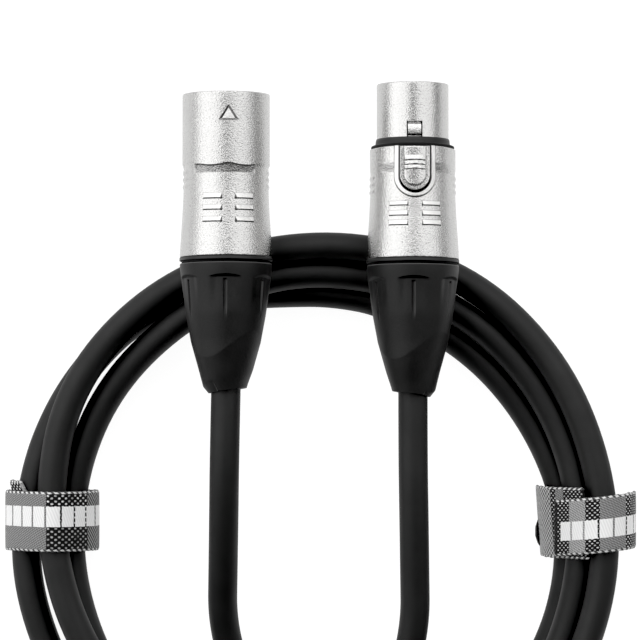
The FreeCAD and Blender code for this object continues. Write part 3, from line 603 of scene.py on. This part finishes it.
def female_matt_painted_highlight(th, z):
    # Painted highlight: a pale, dull strip on the collar's top and on the bar tops.
    d = u_rim(th, z, *RIM)
    rim = 0.6 * (1.0 - smooth(-0.30, -0.15, d)) * smooth(-1.05, -0.9, d)
    return np.maximum(rim, bar_matt_painted_highlight(th, z, FEMALE_BARS, 9.5, 36.5))


female_rows = np.concatenate([
    spread((0.0, 0.05), (0.3, 0.5), (6.5, 0.5))[:-1],
    spread(*bar_rows(FEMALE_BARS, 6.5, 12.8))[:-1],
    spread((12.8, 0.09), (18.2, 0.05), (18.8, 0.2), (20.3, 0.08), (20.9, 0.25), (24.25, 0.04), (24.5, 1.0))])
female_cols = columns((-62.0, -37.0, 1.0), (-37.0, -35.0, 0.25), (-13.0, -8.8, 0.22), (8.8, 13.0, 0.22), (35.0, 37.0, 0.25),
                      (-35.0, -13.0, 0.4), (-8.8, 8.8, 0.5), (13.0, 35.0, 0.4), (37.0, 62.0, 1.0),
                      (-116.0, -64.0, 2.0), (64.0, 116.0, 2.0))
female_shell = turned(
    "female_shell_plate", female_cols, female_rows, female_radius,
    [(8.6, 24.5), (7.95, 24.5), (7.95, 20.0), (7.95, 12.0), (8.7, 11.2), (8.7, 0.0), (9.4, 0.0), (9.9, 0.0)],
    NICKEL, collar_warp, place("female"), painted_shade=female_painted_shade, matt_painted_highlight=female_matt_painted_highlight)
slot = prism(stadium(3.5, 17.5, 26.0, 40), -13.0, -4.0, place("female"))
boolean(female_shell, slot)
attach(female_shell, "cable")
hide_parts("female_shell")

# ---------------------------------------------------------------- female nose and its ring


def nose_radius(th, z):
    r = np.where(z < 26.45, 7.60, 7.95)
    t = np.clip((z - 38.42) / 0.28, 0.0, 1.0)
    return r - 0.26 * (1.0 - np.sqrt(1.0 - t * t))


nose = turned(
    "female_nose_plate", columns(coarse=1.5),
    spread((21.5, 2.5), (26.4, 0.1), (26.5, 1.0), (38.42, 0.04), (38.70, 1.0)), nose_radius,
    [(7.25, 38.70), (7.08, 38.60), (7.02, 38.40), (7.02, 30.0), (7.02, 21.5), (7.3, 21.5)], NICKEL_SMOOTH, None, place("female"))
boolean(nose, prism([(-3.7, 20.0), (3.7, 20.0), (3.7, 24.6), (1.725, 24.6), (1.725, 30.0), (-1.725, 30.0), (-1.725, 24.6), (-3.7, 24.6)],
                    -12.0, -4.0, place("female")))
boolean(nose, prism([(-1.2, 27.0), (1.2, 27.0), (1.2, 40.0), (-1.2, 40.0)], 4.0, 12.0, place("female")))
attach(nose, "cable")
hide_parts("female_nose")

# The ring carries painted shade: its lower flange goes nearly black, its upper collar a little darker.
front_ring = turned(
    "female_front_ring_moulding", columns(coarse=3.0),
    np.array([24.50, 24.54, 24.62, 24.98, 25.06, 25.12, 25.18, 25.30, 25.9, 26.36, 26.48, 26.54]),
    (np.array([24.50, 24.54, 24.62, 24.98, 25.06, 25.12, 25.18, 25.30, 25.9, 26.36, 26.48, 26.54]),
     np.array([9.02, 9.12, 9.18, 9.18, 9.08, 8.66, 8.30, 8.22, 8.17, 8.10, 8.03, 7.96])),
    [(7.75, 26.54), (7.68, 26.44), (7.68, 24.5), (8.5, 24.5)], BLACK_RING, collar_warp, place("female"),
    painted_shade=lambda th, z: 0.9 * (1.0 - smooth(25.06, 25.16, z)) + 0.25 * smooth(25.2, 25.3, z) * (1.0 - smooth(25.85, 26.2, z)))
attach(front_ring, "cable")
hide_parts("female_front_ring")

# ---------------------------------------------------------------- latch


def pad(half, centre, top, low, high, crown, edge, ridges=(), n=13):
    """A thumb pad: a round-ended slab whose top is crowned and rounded, with ridges across it."""
    rows = [(half * math.sin(math.radians(a)), centre - half * math.cos(math.radians(a))) for a in (3, 8, 14, 21, 28, 36, 44, 52, 60, 68, 76, 84)]
    z = centre
    marks = [centre + (top - centre) * i / 60.0 for i in range(61)]
    rows += [(half, m) for m in marks]
    us = [math.sin(math.radians(-90 + 180 * j / (2 * n))) for j in range(2 * n + 1)]
    up, down = [], []
    for w, zz in rows:
        for u in us:
            x = u * w
            d = half - (math.hypot(x, zz - centre) if zz < centre else abs(x))
            d = max(0.0, min(d, top - zz))
            h = high - crown * (x / half) ** 2
            if d < edge:
                h -= edge - math.sqrt(max(0.0, edge * edge - (edge - d) ** 2))
            for zc, tall, rear, front in ridges:
                s = zz - zc - 0.22 * (1.0 - (x / half) ** 2)
                s /= front if s > 0.0 else rear
                if abs(s) < 1.0:
                    h += tall * (1.0 - abs(s)) * (1.0 if abs(x) < half - 0.25 else max(0.0, (half - abs(x)) / 0.25))
            up.append((x, -h, zz))
            down.append((x, -low, zz))
    m, k = len(rows), len(us)
    pts = up + down
    off = m * k
    faces = []
    for i in range(m - 1):
        for j in range(k - 1):
            q = [i * k + j, i * k + j + 1, (i + 1) * k + j + 1, (i + 1) * k + j]
            faces += [q, [off + v for v in reversed(q)]]
    rim = [i * k for i in range(m - 1, 0, -1)] + list(range(k - 1)) + [i * k + k - 1 for i in range(m - 1)] + [(m - 1) * k + j for j in range(k - 1, 0, -1)]
    for a, b in zip(rim, rim[1:] + rim[:1]):
        faces.append([a, b, off + b, off + a])
    return pts, faces


arm_side = [(-4.95, 24.2), (-4.95, 31.9), (-4.5, 32.6), (-4.5, 33.4), (-5.0, 34.1), (-6.2, 34.1), (-6.7, 33.4), (-6.7, 32.6), (-6.2, 31.9),
            (-6.2, 29.45), (-7.45, 29.40), (-7.58, 29.22), (-7.80, 27.35), (-7.72, 27.12), (-7.4, 27.0), (-6.2, 26.9), (-6.2, 24.9), (-7.6, 24.4), (-7.6, 20.5), (-6.6, 20.5)]
n = len(arm_side)
pts = [(-1.45, y, z) for y, z in arm_side] + [(1.45, y, z) for y, z in arm_side]
faces = [list(range(n)), list(range(2 * n - 1, n - 1, -1))] + [[i, i + n, (i + 1) % n + n, (i + 1) % n] for i in range(n)]
latch = make("female_latch_lever", pts, faces, NICKEL_SMOOTH, 30.0, place("female"))
base_part = make("cutter", *pad(3.32, 18.0, 24.40, 7.2, 9.22, 0.12, 0.18), NICKEL_SMOOTH, 30.0, place("female"))
boolean(latch, base_part, "UNION")
pad_part = make("cutter", *pad(2.5, 18.05, 24.38, 8.9, 10.04, 0.32, 0.35, ((19.25, 0.30, 0.20, 0.66), (20.2, 0.30, 0.20, 0.66), (21.2, 0.34, 0.20, 0.90))), NICKEL_SMOOTH, 30.0, place("female"))
boolean(latch, pad_part, "UNION")
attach(latch, "latch")
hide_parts("female_latch")

# ---------------------------------------------------------------- boots and coding rings

BOOT_SIDE = table([(-30.5, 6.16), (-18.4, 7.72), (-12.6, 8.80), (-6.7, 9.60), (-3.0, 10.10), (-1.6, 10.2), (0.0, 10.2)], 0.6)


def boot_radius(turn, chamfer):
    """Six grooves, each under a crescent eyebrow. The tip tapers more steeply, from a line that dips on one side."""
    def radius(th, z):
        r = BOOT_SIDE(z)
        a = th - turn
        d = (a + 30.0) % 60.0 - 30.0
        below = -19.27 - 2.93 * np.cos(np.radians(2.0 * (a + 35.0))) - z
        r = r - 0.152 * 0.5 * (below + np.sqrt(below ** 2 + 0.03)) - 0.02 * smooth(-0.05, 0.25, below)
        under = -3.95 - 0.60 * (d / 22.7) ** 2 - z
        window = 1.0 - smooth(12.0, 22.7, np.abs(d))
        r = r - 0.36 * window * smooth(0.0, 0.70, under) * (1.0 - smooth(0.9, 8.5, under))
        x = np.radians(d) * 8.8
        groove = (1.0 - smooth(0.16, 0.44, np.abs(x))) * smooth(-14.2, -9.5, z) * (1.0 - smooth(-5.25, -5.0, z))
        r = r - 0.36 * groove
        t = np.clip((z + 1.7) / 0.35, 0.0, 1.0)
        r = r - 0.22 * (1.0 - np.sqrt(1.0 - t * t))
        side = 1.0 - smooth(55.0, 85.0, np.abs((th - chamfer + 180.0) % 360.0 - 180.0))
        return np.minimum(r, 3.80 + 0.85 * (z + 29.7) + 4.0 * (1.0 - side))
    return radius


def boot_painted_shade(turn):
    # Painted shade: under each crescent eyebrow (full on the front groove, weaker on the others), down the left wall of
    # each groove, and at each groove's top end.
    def painted_shade(th, z):
        d = (th - turn + 30.0) % 60.0 - 30.0
        under = -3.95 - 0.60 * (d / 22.7) ** 2 - z
        tall = 0.12 + 0.86 * np.clip(1.0 - (d / 22.7) ** 2, 0.0, 1.0)
        front = np.where(np.abs(th - turn) < 30.0, 1.0, 0.35)
        brow = 0.97 * front * (1.0 - smooth(18.0, 22.7, np.abs(d))) * smooth(0.0, 0.08, under) * (1.0 - smooth(0.6 * tall, tall, under))
        x = np.radians(d) * 8.8
        left = (1.0 - smooth(0.0, 0.22, np.abs(x + 0.32))) * smooth(-13.8, -11.5, z) * (1.0 - smooth(-5.2, -5.0, z))
        top = (1.0 - smooth(0.4, 0.6, np.abs(x))) * (1.0 - smooth(0.1, 0.4, np.abs(z + 5.3)))
        return np.maximum.reduce([brow, 0.4 * left, 0.5 * top])
    return painted_shade


def boot_painted_edge_light(turn):
    """Painted highlights: a paler upper lip, and a paler wall on one side of each groove."""
    def painted_edge_light(th, z):
        d = (th - turn + 30.0) % 60.0 - 30.0
        x = np.radians(d) * 8.8
        wall = smooth(0.10, 0.20, x) * (1.0 - smooth(0.34, 0.46, x)) * smooth(-13.6, -11.0, z) * (1.0 - smooth(-5.6, -5.2, z))
        lip = smooth(-1.66, -1.52, z) * (1.0 - smooth(-1.44, -1.38, z))
        return np.maximum(0.75 * wall, lip)
    return painted_edge_light


def boot_warp(lean, drop):
    """The end face stands a little askew."""
    return lambda th, z: (lean * np.sin(np.radians(th)) + drop) * (1.0 - smooth(-29.7, -24.0, z))


boot_rows = spread((-29.7, 0.12), (-28.0, 0.3), (-24.0, 0.15), (-15.4, 0.25), (-5.6, 0.07), (-3.6, 0.4), (-1.7, 0.05), (-1.35, 1.0))
boot_cols = columns(*[(c - 5.0, c + 5.0, 0.5) for c in range(-120, 150, 60)], (-180.0, -175.0, 0.5), (175.0, 179.9, 0.5), coarse=1.5)
TIP = {"male": (-90.0, 0.62, 0.45), "female": (90.0, -0.62, 0.05)}
boots = {}
for side in ("male", "female"):
    turn = -SIDES[side][1]
    cols = (boot_cols + turn + 180.0) % 360.0 - 180.0
    chamfer, lean, drop = TIP[side]
    boots[side] = turned(
        side + "_boot_moulding", np.sort(cols), boot_rows, boot_radius(turn, chamfer),
        [(9.6, -1.35), (8.62, -1.35), (8.62, 6.0), (6.5, 6.0), (6.5, -13.6), (3.55, -15.2), (3.40, -28.2), (3.40, -28.6), (3.6, -28.9)],
        BOOT, boot_warp(lean, drop), place(side), 40.0, painted_shade=boot_painted_shade(turn), painted_edge_light=boot_painted_edge_light(turn))
    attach(boots[side], side + "_boot")
    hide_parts(side + "_boot")
    zs = np.array([-1.30, -1.26, -0.95, -0.86, -0.80, -0.74, -0.20, -0.08, 0.0])
    rs = np.array([9.70, 9.78, 9.78, 9.84, 10.12, 10.25, 10.25, 10.18, 10.02])
    # Painted shade on the ring's front bevel and in its rear groove.
    ring = turned(side + "_coding_ring_moulding", columns(coarse=3.0), zs, (zs, rs), [(8.7, 0.0), (8.7, -1.3)], BLACK_RING, None, place(side),
                  painted_shade=lambda th, z: np.maximum(smooth(-0.22, -0.10, z), 1.0 - smooth(-0.90, -0.80, z)))
    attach(ring, "cable")
    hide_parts(side + "_coding_ring")

# ---------------------------------------------------------------- ties


def closed_curve(corners, per=14):
    """A smooth closed line inside a polygon: it touches each side's middle."""
    n, out = len(corners), []
    for i in range(n):
        a, b, c = (np.array(corners[(i + k) % n], float) for k in (-1, 0, 1))
        p, q = (a + b) / 2, (b + c) / 2
        for s in range(per):
            t = s / per
            out.append((1 - t) ** 2 * p + 2 * t * (1 - t) * b + t * t * q)
    return np.array(out)


def strap(name, line, centre, width, thick, material, closed=False, shift=None, skew=0.0, end=0.0, slant=0.0, across=16):
    """A woven strap along a line of (x, z) points: its width along Y, rounded selvedges, UVs in millimetres.
    shift(x, z) moves it along Y, skew leans it over, slant cuts its first end askew, and end rounds that off."""
    line = np.array(line, float)
    n = len(line)
    nxt = np.roll(line, -1, 0) if closed else np.vstack([line[1:], 2 * line[-1] - line[-2]])
    prv = np.roll(line, 1, 0) if closed else np.vstack([2 * line[0] - line[1], line[:-1]])
    tan = nxt - prv
    tan /= np.linalg.norm(tan, axis=1)[:, None]
    nor = np.stack([-tan[:, 1], tan[:, 0]], axis=1)
    run = np.concatenate([[0.0], np.cumsum(np.linalg.norm(np.diff(line, axis=0), axis=1))])
    # section: over the top, round one selvedge, back underneath, round the other
    h = 0.5 * thick
    vs = [-1 + 2 * j / across for j in range(across + 1)]
    sec = [(v * (0.5 * width - 0.35 * thick), h * (1 - 0.10 * v ** 4)) for v in vs]
    sec += [(0.5 * width - 0.10 * thick, 0.62 * h), (0.5 * width, 0.0), (0.5 * width - 0.10 * thick, -0.62 * h)]
    sec += [(v * (0.5 * width - 0.35 * thick), -h * (1 - 0.10 * v ** 4)) for v in reversed(vs)]
    sec += [(-0.5 * width + 0.10 * thick, -0.62 * h), (-0.5 * width, 0.0), (-0.5 * width + 0.10 * thick, 0.62 * h)]
    k = len(sec)
    pts, uvs = [], []
    for i in range(n):
        wave = 1.0 + 0.012 * math.sin(run[i] * 2 * math.pi / 1.4)
        if end and run[i] < end:
            wave *= max(0.30, math.sqrt(1.0 - (1.0 - run[i] / end) ** 2))
        for v, o in sec:
            move = slant * max(v, -1.0) * (1.0 - run[i] / run[-1])
            x, z = line[i, 0] + nor[i, 0] * o + tan[i, 0] * move, line[i, 1] + nor[i, 1] * o + tan[i, 1] * move
            y = centre + v * wave + (shift(x, z) if shift else 0.0)
            pts.append((x - skew * (y - centre), y, z))
            uvs.append((run[i], v))
    faces, face_uv = [], []
    total = run[-1] + (np.linalg.norm(line[0] - line[-1]) if closed else 0.0)
    for i in range(n if closed else n - 1):
        i2 = (i + 1) % n
        for j in range(k):
            j2 = (j + 1) % k
            faces.append([i * k + j, i * k + j2, i2 * k + j2, i2 * k + j])
            u1 = total if i2 == 0 else run[i2]
            face_uv.append([(run[i], sec[j][0]), (run[i], sec[j2][0]), (u1, sec[j2][0]), (u1, sec[j][0])])
    if not closed:
        faces += [list(range(k)), [(n - 1) * k + j for j in range(k - 1, -1, -1)]]
        face_uv += [[(run[0], c[0]) for c in sec], [(run[-1], c[0]) for c in reversed(sec)]]
    mesh = bpy.data.meshes.new(name)
    mesh.from_pydata([Vector(q) * MM for q in pts], [], faces)
    layer = mesh.uv_layers.new(name="weave")
    at = 0
    for f in face_uv:
        for uv in f:
            layer.data[at].uv = (uv[0] * 0.01, uv[1] * 0.01 + 0.5)
            at += 1
    bm = bmesh.new()
    bm.from_mesh(mesh)
    bmesh.ops.recalc_face_normals(bm, faces=bm.faces)
    bm.to_mesh(mesh)
    bm.free()
    finish_mesh(mesh, 60.0)
    mesh.materials.append(material)
    return link(bpy.data.objects.new(name, mesh))


def webbing(name, blocks, stripe=None, half=6.5, lean=1.0):
    """Two-tone narrow-loom webbing, from UVs in hundredths of a metre. blocks are (where it starts along the
    strap, kind): fine grey twill, pale dots on black, a finer diagonal weave, a basket weave, or plain black.
    Stitched selvedges, and a row of plain pale blocks along the strap where stripe = (low, high) is given."""
    k = Look(name, specular=0.2)
    uv = k.add("ShaderNodeSeparateXYZ")
    k.put(uv.inputs[0], k.add("ShaderNodeUVMap", uv_map="weave").outputs[0])
    u = k.math("MULTIPLY", uv.outputs[0], 100.0)
    v = k.math("MULTIPLY", k.math("SUBTRACT", uv.outputs[1], 0.5), 100.0)
    jitter = k.noise(900.0, 1.0)
    patchy = k.noise(420.0, 2.0, 0.6)
    u = k.math("ADD", u, k.math("MULTIPLY", k.math("SUBTRACT", jitter, 0.5), 0.20))
    v = k.math("ADD", v, k.math("MULTIPLY", k.math("SUBTRACT", patchy, 0.5), 0.24))

    def wave(x, period):
        return k.math("SINE", k.math("MULTIPLY", x, 2 * math.pi / period))

    def along(a, b):
        return k.math("MULTIPLY_ADD", u, a, k.math("MULTIPLY", v, b))

    def choose(factor, a, b):
        m = k.add("ShaderNodeMix")
        for key, value in (("Factor", factor), ("A", a), ("B", b)):
            k.put(m.inputs[key], value)
        return m.outputs["Result"]

    ribs = k.between(wave(along(-0.5 * lean, 0.866), 0.47), -0.9, 0.9, 0.0, 1.0)
    fine = k.between(wave(along(1.0, 0.35), 0.62), -0.7, 0.7, 0.0, 1.0)
    ribs = k.math("MULTIPLY_ADD", fine, 0.30, k.math("MULTIPLY", ribs, 0.70))
    dots = k.math("MULTIPLY", wave(u, 1.52), wave(v, 1.22))
    dots = k.math("MULTIPLY", k.between(dots, 0.30, 0.66, 0.0, 1.0), k.between(patchy, 0.36, 0.56, 0.35, 1.0))
    dots = k.math("MULTIPLY", dots, k.between(v, -1.6, -0.8, 0.50, 1.0))
    across = wave(v, 1.04)
    small = k.math("MULTIPLY", wave(u, 1.12), k.math("MULTIPLY", across, k.math("MULTIPLY", across, across)))
    small = k.math("MULTIPLY", k.between(small, 0.10, 0.45, 0.0, 1.0), k.between(patchy, 0.36, 0.60, 0.45, 1.0))
    slant = k.between(wave(along(0.80, 0.60 * lean), 0.62), -0.6, 0.6, 0.0, 1.0)
    cells = k.math("MULTIPLY", wave(u, 1.10), wave(v, 1.10))
    cells = k.between(cells, -0.30, 0.25, 0.0, 1.0)
    kinds = {"twill": (k.math("MULTIPLY_ADD", ribs, 0.20, 0.12), ribs),
             "pale": (k.math("MULTIPLY_ADD", ribs, 0.26, 0.20), ribs),
             "dots": (k.math("MULTIPLY_ADD", dots, 0.80, 0.008), dots),
             "small": (k.math("MULTIPLY_ADD", small, 0.75, 0.008), small),
             "slant": (k.math("MULTIPLY_ADD", slant, 0.30, 0.03), slant),
             "basket": (k.math("MULTIPLY_ADD", cells, 0.42, 0.09), cells),
             "black": (k.math("MULTIPLY_ADD", slant, 0.012, 0.006), slant)}
    tone, high = kinds[blocks[0][1]]
    for start, kind in blocks[1:]:
        past = k.math("GREATER_THAN", u, start)
        tone = choose(past, tone, kinds[kind][0])
        high = choose(past, high, kinds[kind][1])
    # selvedges: short pale stitches on black, over and over
    out = k.math("ABSOLUTE", v)
    edge = k.between(out, half - 0.54, half - 0.46, 0.0, 1.0)
    stitch = k.math("MULTIPLY", k.between(wave(along(1.0, 0.9), 1.46), -0.35, 0.15, 0.0, 1.0), k.between(out, half - 0.16, half - 0.02, 1.0, 0.2))
    if stripe or blocks[0][1] != "black":
        tone = choose(edge, tone, k.math("MULTIPLY_ADD", stitch, 0.62, 0.07))
        high = choose(edge, high, stitch)
    if stripe:
        row = k.math("MULTIPLY", k.math("GREATER_THAN", v, stripe[0]), k.math("LESS_THAN", v, stripe[1]))
        cell = k.math("MODULO", k.math("ADD", u, 1000.0 + stripe[2]), stripe[3])
        block = k.math("MULTIPLY", row, k.math("GREATER_THAN", cell, 0.42))
        block = k.math("MULTIPLY", block, k.math("GREATER_THAN", u, stripe[4]))
        tone = choose(block, tone, k.math("MULTIPLY_ADD", fine, 0.10, 0.78))
        high = choose(block, high, k.math("MULTIPLY_ADD", fine, 0.2, 0.9))
    colour = k.add("ShaderNodeCombineColor")
    for i in range(3):
        k.put(colour.inputs[i], tone)
    k.shader.inputs["Sheen Weight"].default_value = 0.10
    n = k.bump(high, 0.00009)
    n = k.bump(k.noise(3000.0, 1.0), 0.00002, under=n)
    return k.finish(colour.outputs[0], k.between(jitter, 0.3, 0.7, 0.62, 0.78), n)


def bent(corners, per=12):
    """An open line whose corners are rounded: it touches each inner side's middle."""
    pts = [np.array(c, float) for c in corners]
    out = [pts[0]]
    for i in range(1, len(pts) - 1):
        a = pts[0] if i == 1 else (pts[i - 1] + pts[i]) / 2
        c = pts[-1] if i == len(pts) - 2 else (pts[i] + pts[i + 1]) / 2
        out += [(1 - t) ** 2 * a + 2 * t * (1 - t) * pts[i] + t * t * c for t in (q / per for q in range(1, per + 1))]
    return np.array(out)


# The left tie: one band right round, over the corner of its wider head.
LEFT_LOOP = [(-70.3, 6.3), (-62.2, 14.4), (-56.9, 14.4), (-50.1, 7.6), (-50.1, 1.7), (-51.3, 0.5), (-69.1, 0.5), (-70.3, 1.7)]
LEFT_HEAD = [(-63.1, 11.75), (-65.6, 9.25), (-69.2, 5.65), (-69.2, 0.9)]
WEBBING_LEFT = webbing("webbing_left", [(0.0, 'twill'), (14.4, 'dots'), (24.56, 'slant'), (32.19, 'dots'), (41.69, 'twill'), (50.69, 'dots'), (59.69, 'twill')], (-1.15, 3.40, 0.0, 3.25, -1.0), 6.7)
WEBBING_LEFT_HEAD = webbing("webbing_left_head", [(0.0, "pale"), (0.75, "dots")], None, 7.1)
left_tie = strap("left_tie_webbing", closed_curve(LEFT_LOOP), -44.95, 13.4, 1.0, WEBBING_LEFT, closed=True)
left_head = strap("left_tie_head", bent(LEFT_HEAD), -43.1, 14.2, 0.8, WEBBING_LEFT_HEAD, slant=0.80)

# The right tie: the strap comes round below and over the top, goes through the wider head on the inner
# slope, folds back over itself and runs outwards again, a few degrees askew.
tilt = lambda x, z: 0.105 * (x - 61.0) * min(1.0, max(0.0, (z - 3.0) / 6.0))
RIGHT_UNDER = [(53.9, 12.1), (60.3, 18.3), (64.6, 18.3), (69.1, 13.6), (69.1, 1.7), (67.9, 0.5), (51.6, 0.5), (50.4, 1.7), (50.4, 6.2)]
RIGHT_HEAD = [(58.9, 18.45), (56.9, 16.6), (49.55, 9.25), (49.55, 1.6)]
RIGHT_BAND = [(53.6, 12.95), (52.85, 13.1), (52.55, 13.7), (52.95, 14.4), (59.2, 20.3), (65.6, 20.3), (70.4, 15.2), (70.4, 5.0)]
RIGHT_TAB = [(48.6, 2.9), (50.2, 2.4), (52.5, 1.9)]
WEBBING_RIGHT = webbing("webbing_right", [(0.0, "black"), (2.35, "small"), (5.75, "pale"), (9.9, "small"), (13.1, "twill"), (19.2, "small"), (25.2, "twill"), (31.2, "small"), (37.2, "twill")], (-2.9, 1.25, 1.40, 3.25, 3.1), 6.25, -1.0)
WEBBING_HEAD = webbing("webbing_right_head", [(0.0, "small"), (5.7, "twill"), (8.0, "small"), (9.6, "basket")], None, 7.95)
WEBBING_TAB = webbing("webbing_tab", [(0.0, "black")], None, 3.4)
right_tie = strap("right_tie_webbing", bent(RIGHT_UNDER), -45.3, 12.0, 0.9, WEBBING_RIGHT, shift=tilt)
right_band = strap("right_tie_band", bent(RIGHT_BAND), -45.45, 12.5, 0.9, WEBBING_RIGHT, shift=tilt)
right_head = strap("right_tie_head", bent(RIGHT_HEAD), -45.15, 15.9, 0.9, WEBBING_HEAD, skew=0.07, across=24)
right_tab = strap("right_tie_tab", bent(RIGHT_TAB, 16), -47.6, 7.4, 0.9, WEBBING_TAB, end=1.7)
for node, pieces in (("left_tie", (left_tie, left_head)), ("right_tie", (right_tie, right_band, right_head, right_tab))):
    for piece in pieces:
        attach(piece, "cable")
        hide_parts(node)

# ---------------------------------------------------------------- inner pieces keep their shape

CONTACT = nickel("contact_plate", 0.70, 0.20, 0.4)
STEEL = nickel("spring_steel", 0.55, 0.25, 0.4)
WIRES = {1: moulded("conductor_shield", 0.35, 0.5, tint=(1.0, 0.62, 0.38)), 2: moulded("conductor_hot", 0.45, 0.45, tint=(1.0, 0.09, 0.06)),
         3: moulded("conductor_cold", 0.5, 0.45, tint=(1.0, 1.0, 1.0))}
for name, node in NODES.items():
    if name == "female_latch_spring":
        continue
    if "_insert" in name:
        look = INSERT
    elif "_pin_" in name or "_contact_" in name:
        look = CONTACT
    elif "spring" in name or name.endswith("latch_pin"):
        look = STEEL
    elif "chuck" in name:
        look = CHUCK
    elif "conductor" in name:
        look = WIRES[int(name[-1])]
    elif name.endswith("cable_end"):
        look = JACKET
    else:
        continue
    if not node.material_slots:
        node.data.materials.append(look)
    for s in node.material_slots:
        s.material = look

# The latch's return spring, standing on the insert.
coil_pts, coil_faces = [], []
coil_steps, coil_ring = 92, 10
for i in range(coil_steps + 1):
    t = 3.7 * i / coil_steps
    a = 2.0 * math.pi * t
    for j in range(coil_ring):
        b = 2.0 * math.pi * j / coil_ring
        r = 1.1 + 0.2 * math.cos(b)
        coil_pts.append((r * math.cos(a), -3.76 - 0.86 * t - 0.2 * math.sin(b), 19.0 + r * math.sin(a)))
for i in range(coil_steps):
    for j in range(coil_ring):
        j2 = (j + 1) % coil_ring
        coil_faces.append([i * coil_ring + j, i * coil_ring + j2, (i + 1) * coil_ring + j2, (i + 1) * coil_ring + j])
coil_faces += [list(range(coil_ring)), [coil_steps * coil_ring + j for j in range(coil_ring - 1, -1, -1)]]
latch_spring = make("female_latch_spring_coil", coil_pts, coil_faces, STEEL, 50.0, place("female"))
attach(latch_spring, "cable")
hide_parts("female_latch_spring")
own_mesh(latch_spring)

# ---------------------------------------------------------------- floor and light

floor_mesh = bpy.data.meshes.new("floor")
floor_mesh.from_pydata([(-4, -4, -0.0001), (4, -4, -0.0001), (4, 4, -0.0001), (-4, 4, -0.0001)], [], [(0, 1, 2, 3)])
floor = link(bpy.data.objects.new("floor", floor_mesh))
# The floor glows though it is no lamp: painted light, white round the coil, fading farther out and dimmer towards +X,
# over a dark grey base.
k = Look("glowing_table", specular=0.0)
away = k.add("ShaderNodeVectorMath", operation="LENGTH")
k.put(away.inputs[0], k.at)
glow = k.between(away.outputs["Value"], 0.14, 0.60, 0.95, 0.65)
where = k.add("ShaderNodeSeparateXYZ")
k.put(where.inputs[0], k.at)
glow = k.math("MULTIPLY", glow, k.between(where.outputs[0], 0.080, 0.22, 1.0, 0.80))
k.shader.inputs["Emission Color"].default_value = (1.0, 1.0, 1.0, 1.0)
k.put(k.shader.inputs["Emission Strength"], glow)
tone = k.between(k.noise(6.0, 2.0), 0.3, 0.7, 0.15, 0.17)
c = k.add("ShaderNodeCombineColor")
for i in range(3):
    k.put(c.inputs[i], tone)
floor_mesh.materials.append(k.finish(c.outputs[0], 0.9))


def panel(name, azimuth, near, far, reach, across, strength):
    """A soft box standing round the object: from near to far degrees off the zenith towards the azimuth
    (0 is +X, 90 is +Y), reach metres away, and as wide as across = (from, to), square to that."""
    mid, half = math.radians((near + far) / 2), reach * math.tan(math.radians((far - near) / 2))
    az = math.radians(azimuth)
    flat, square = Vector((math.cos(az), math.sin(az), 0.0)), Vector((-math.sin(az), math.cos(az), 0.0))
    out = flat * math.sin(mid) + Vector((0.0, 0.0, math.cos(mid)))
    rise = flat * math.cos(mid) - Vector((0.0, 0.0, math.sin(mid)))
    data = bpy.data.lights.new(name, "AREA")
    data.shape = "RECTANGLE"
    data.size, data.size_y = 2.0 * half, across[1] - across[0]
    data.energy = strength * math.pi * data.size * data.size_y
    obj = link(bpy.data.objects.new(name, data))
    where = out * reach + square * (across[0] + across[1]) / 2 + Vector((0.0, 0.0, 0.03))
    side = out.cross(rise)
    obj.matrix_world = Matrix(((rise.x, side.x, out.x, where.x), (rise.y, side.y, out.y, where.y), (rise.z, side.z, out.z, where.z), (0, 0, 0, 1)))
    obj.visible_camera = False
    return obj


panel("light_left", 180.0, 9.5, 82.0, 1.19, (-1.9, 0.40), 1.66)
panel("light_right_high", 0.0, 9.5, 42.0, 1.19, (-0.12, 1.9), 1.44)
panel("light_right_low", 0.0, 42.0, 72.0, 1.19, (-0.12, 1.9), 1.26)
panel("light_far", 90.0, 22.0, 75.0, 1.60, (-0.40, 0.40), 1.5)

world = bpy.data.worlds.new("studio")
SCENE.world = world
world.use_nodes = True
wt = world.node_tree
background = next(n for n in wt.nodes if n.type == "BACKGROUND")
direction = wt.nodes.new("ShaderNodeTexCoord")
split = wt.nodes.new("ShaderNodeSeparateXYZ")
ramp = wt.nodes.new("ShaderNodeMapRange")
wt.links.new(direction.outputs["Generated"], split.inputs[0])
wt.links.new(split.outputs["Z"], ramp.inputs["Value"])
for i, v in enumerate((0.3, 1.0, 0.34, 0.08), start=1):
    ramp.inputs[i].default_value = v
rear = wt.nodes.new("ShaderNodeMapRange")
wt.links.new(split.outputs["Y"], rear.inputs["Value"])
for i, v in enumerate((-0.6, 0.1, 0.7, 1.0), start=1):
    rear.inputs[i].default_value = v
both = wt.nodes.new("ShaderNodeMath")
both.operation = "MULTIPLY"
wt.links.new(ramp.outputs[0], both.inputs[0])
wt.links.new(rear.outputs[0], both.inputs[1])
wt.links.new(both.outputs[0], background.inputs["Strength"])
background.inputs["Color"].default_value = (1.0, 1.0, 1.0, 1.0)

SCENE.view_settings.view_transform = "Standard"
SCENE.view_settings.look = "None"
SCENE.view_settings.exposure = 0.0
SCENE.view_settings.gamma = 1.0
SCENE.view_settings.use_curve_mapping = True
SCENE.view_settings.curve_mapping.black_level = (0.012, 0.012, 0.012)
SCENE.view_settings.curve_mapping.update()
bpy.context.view_layer.update()
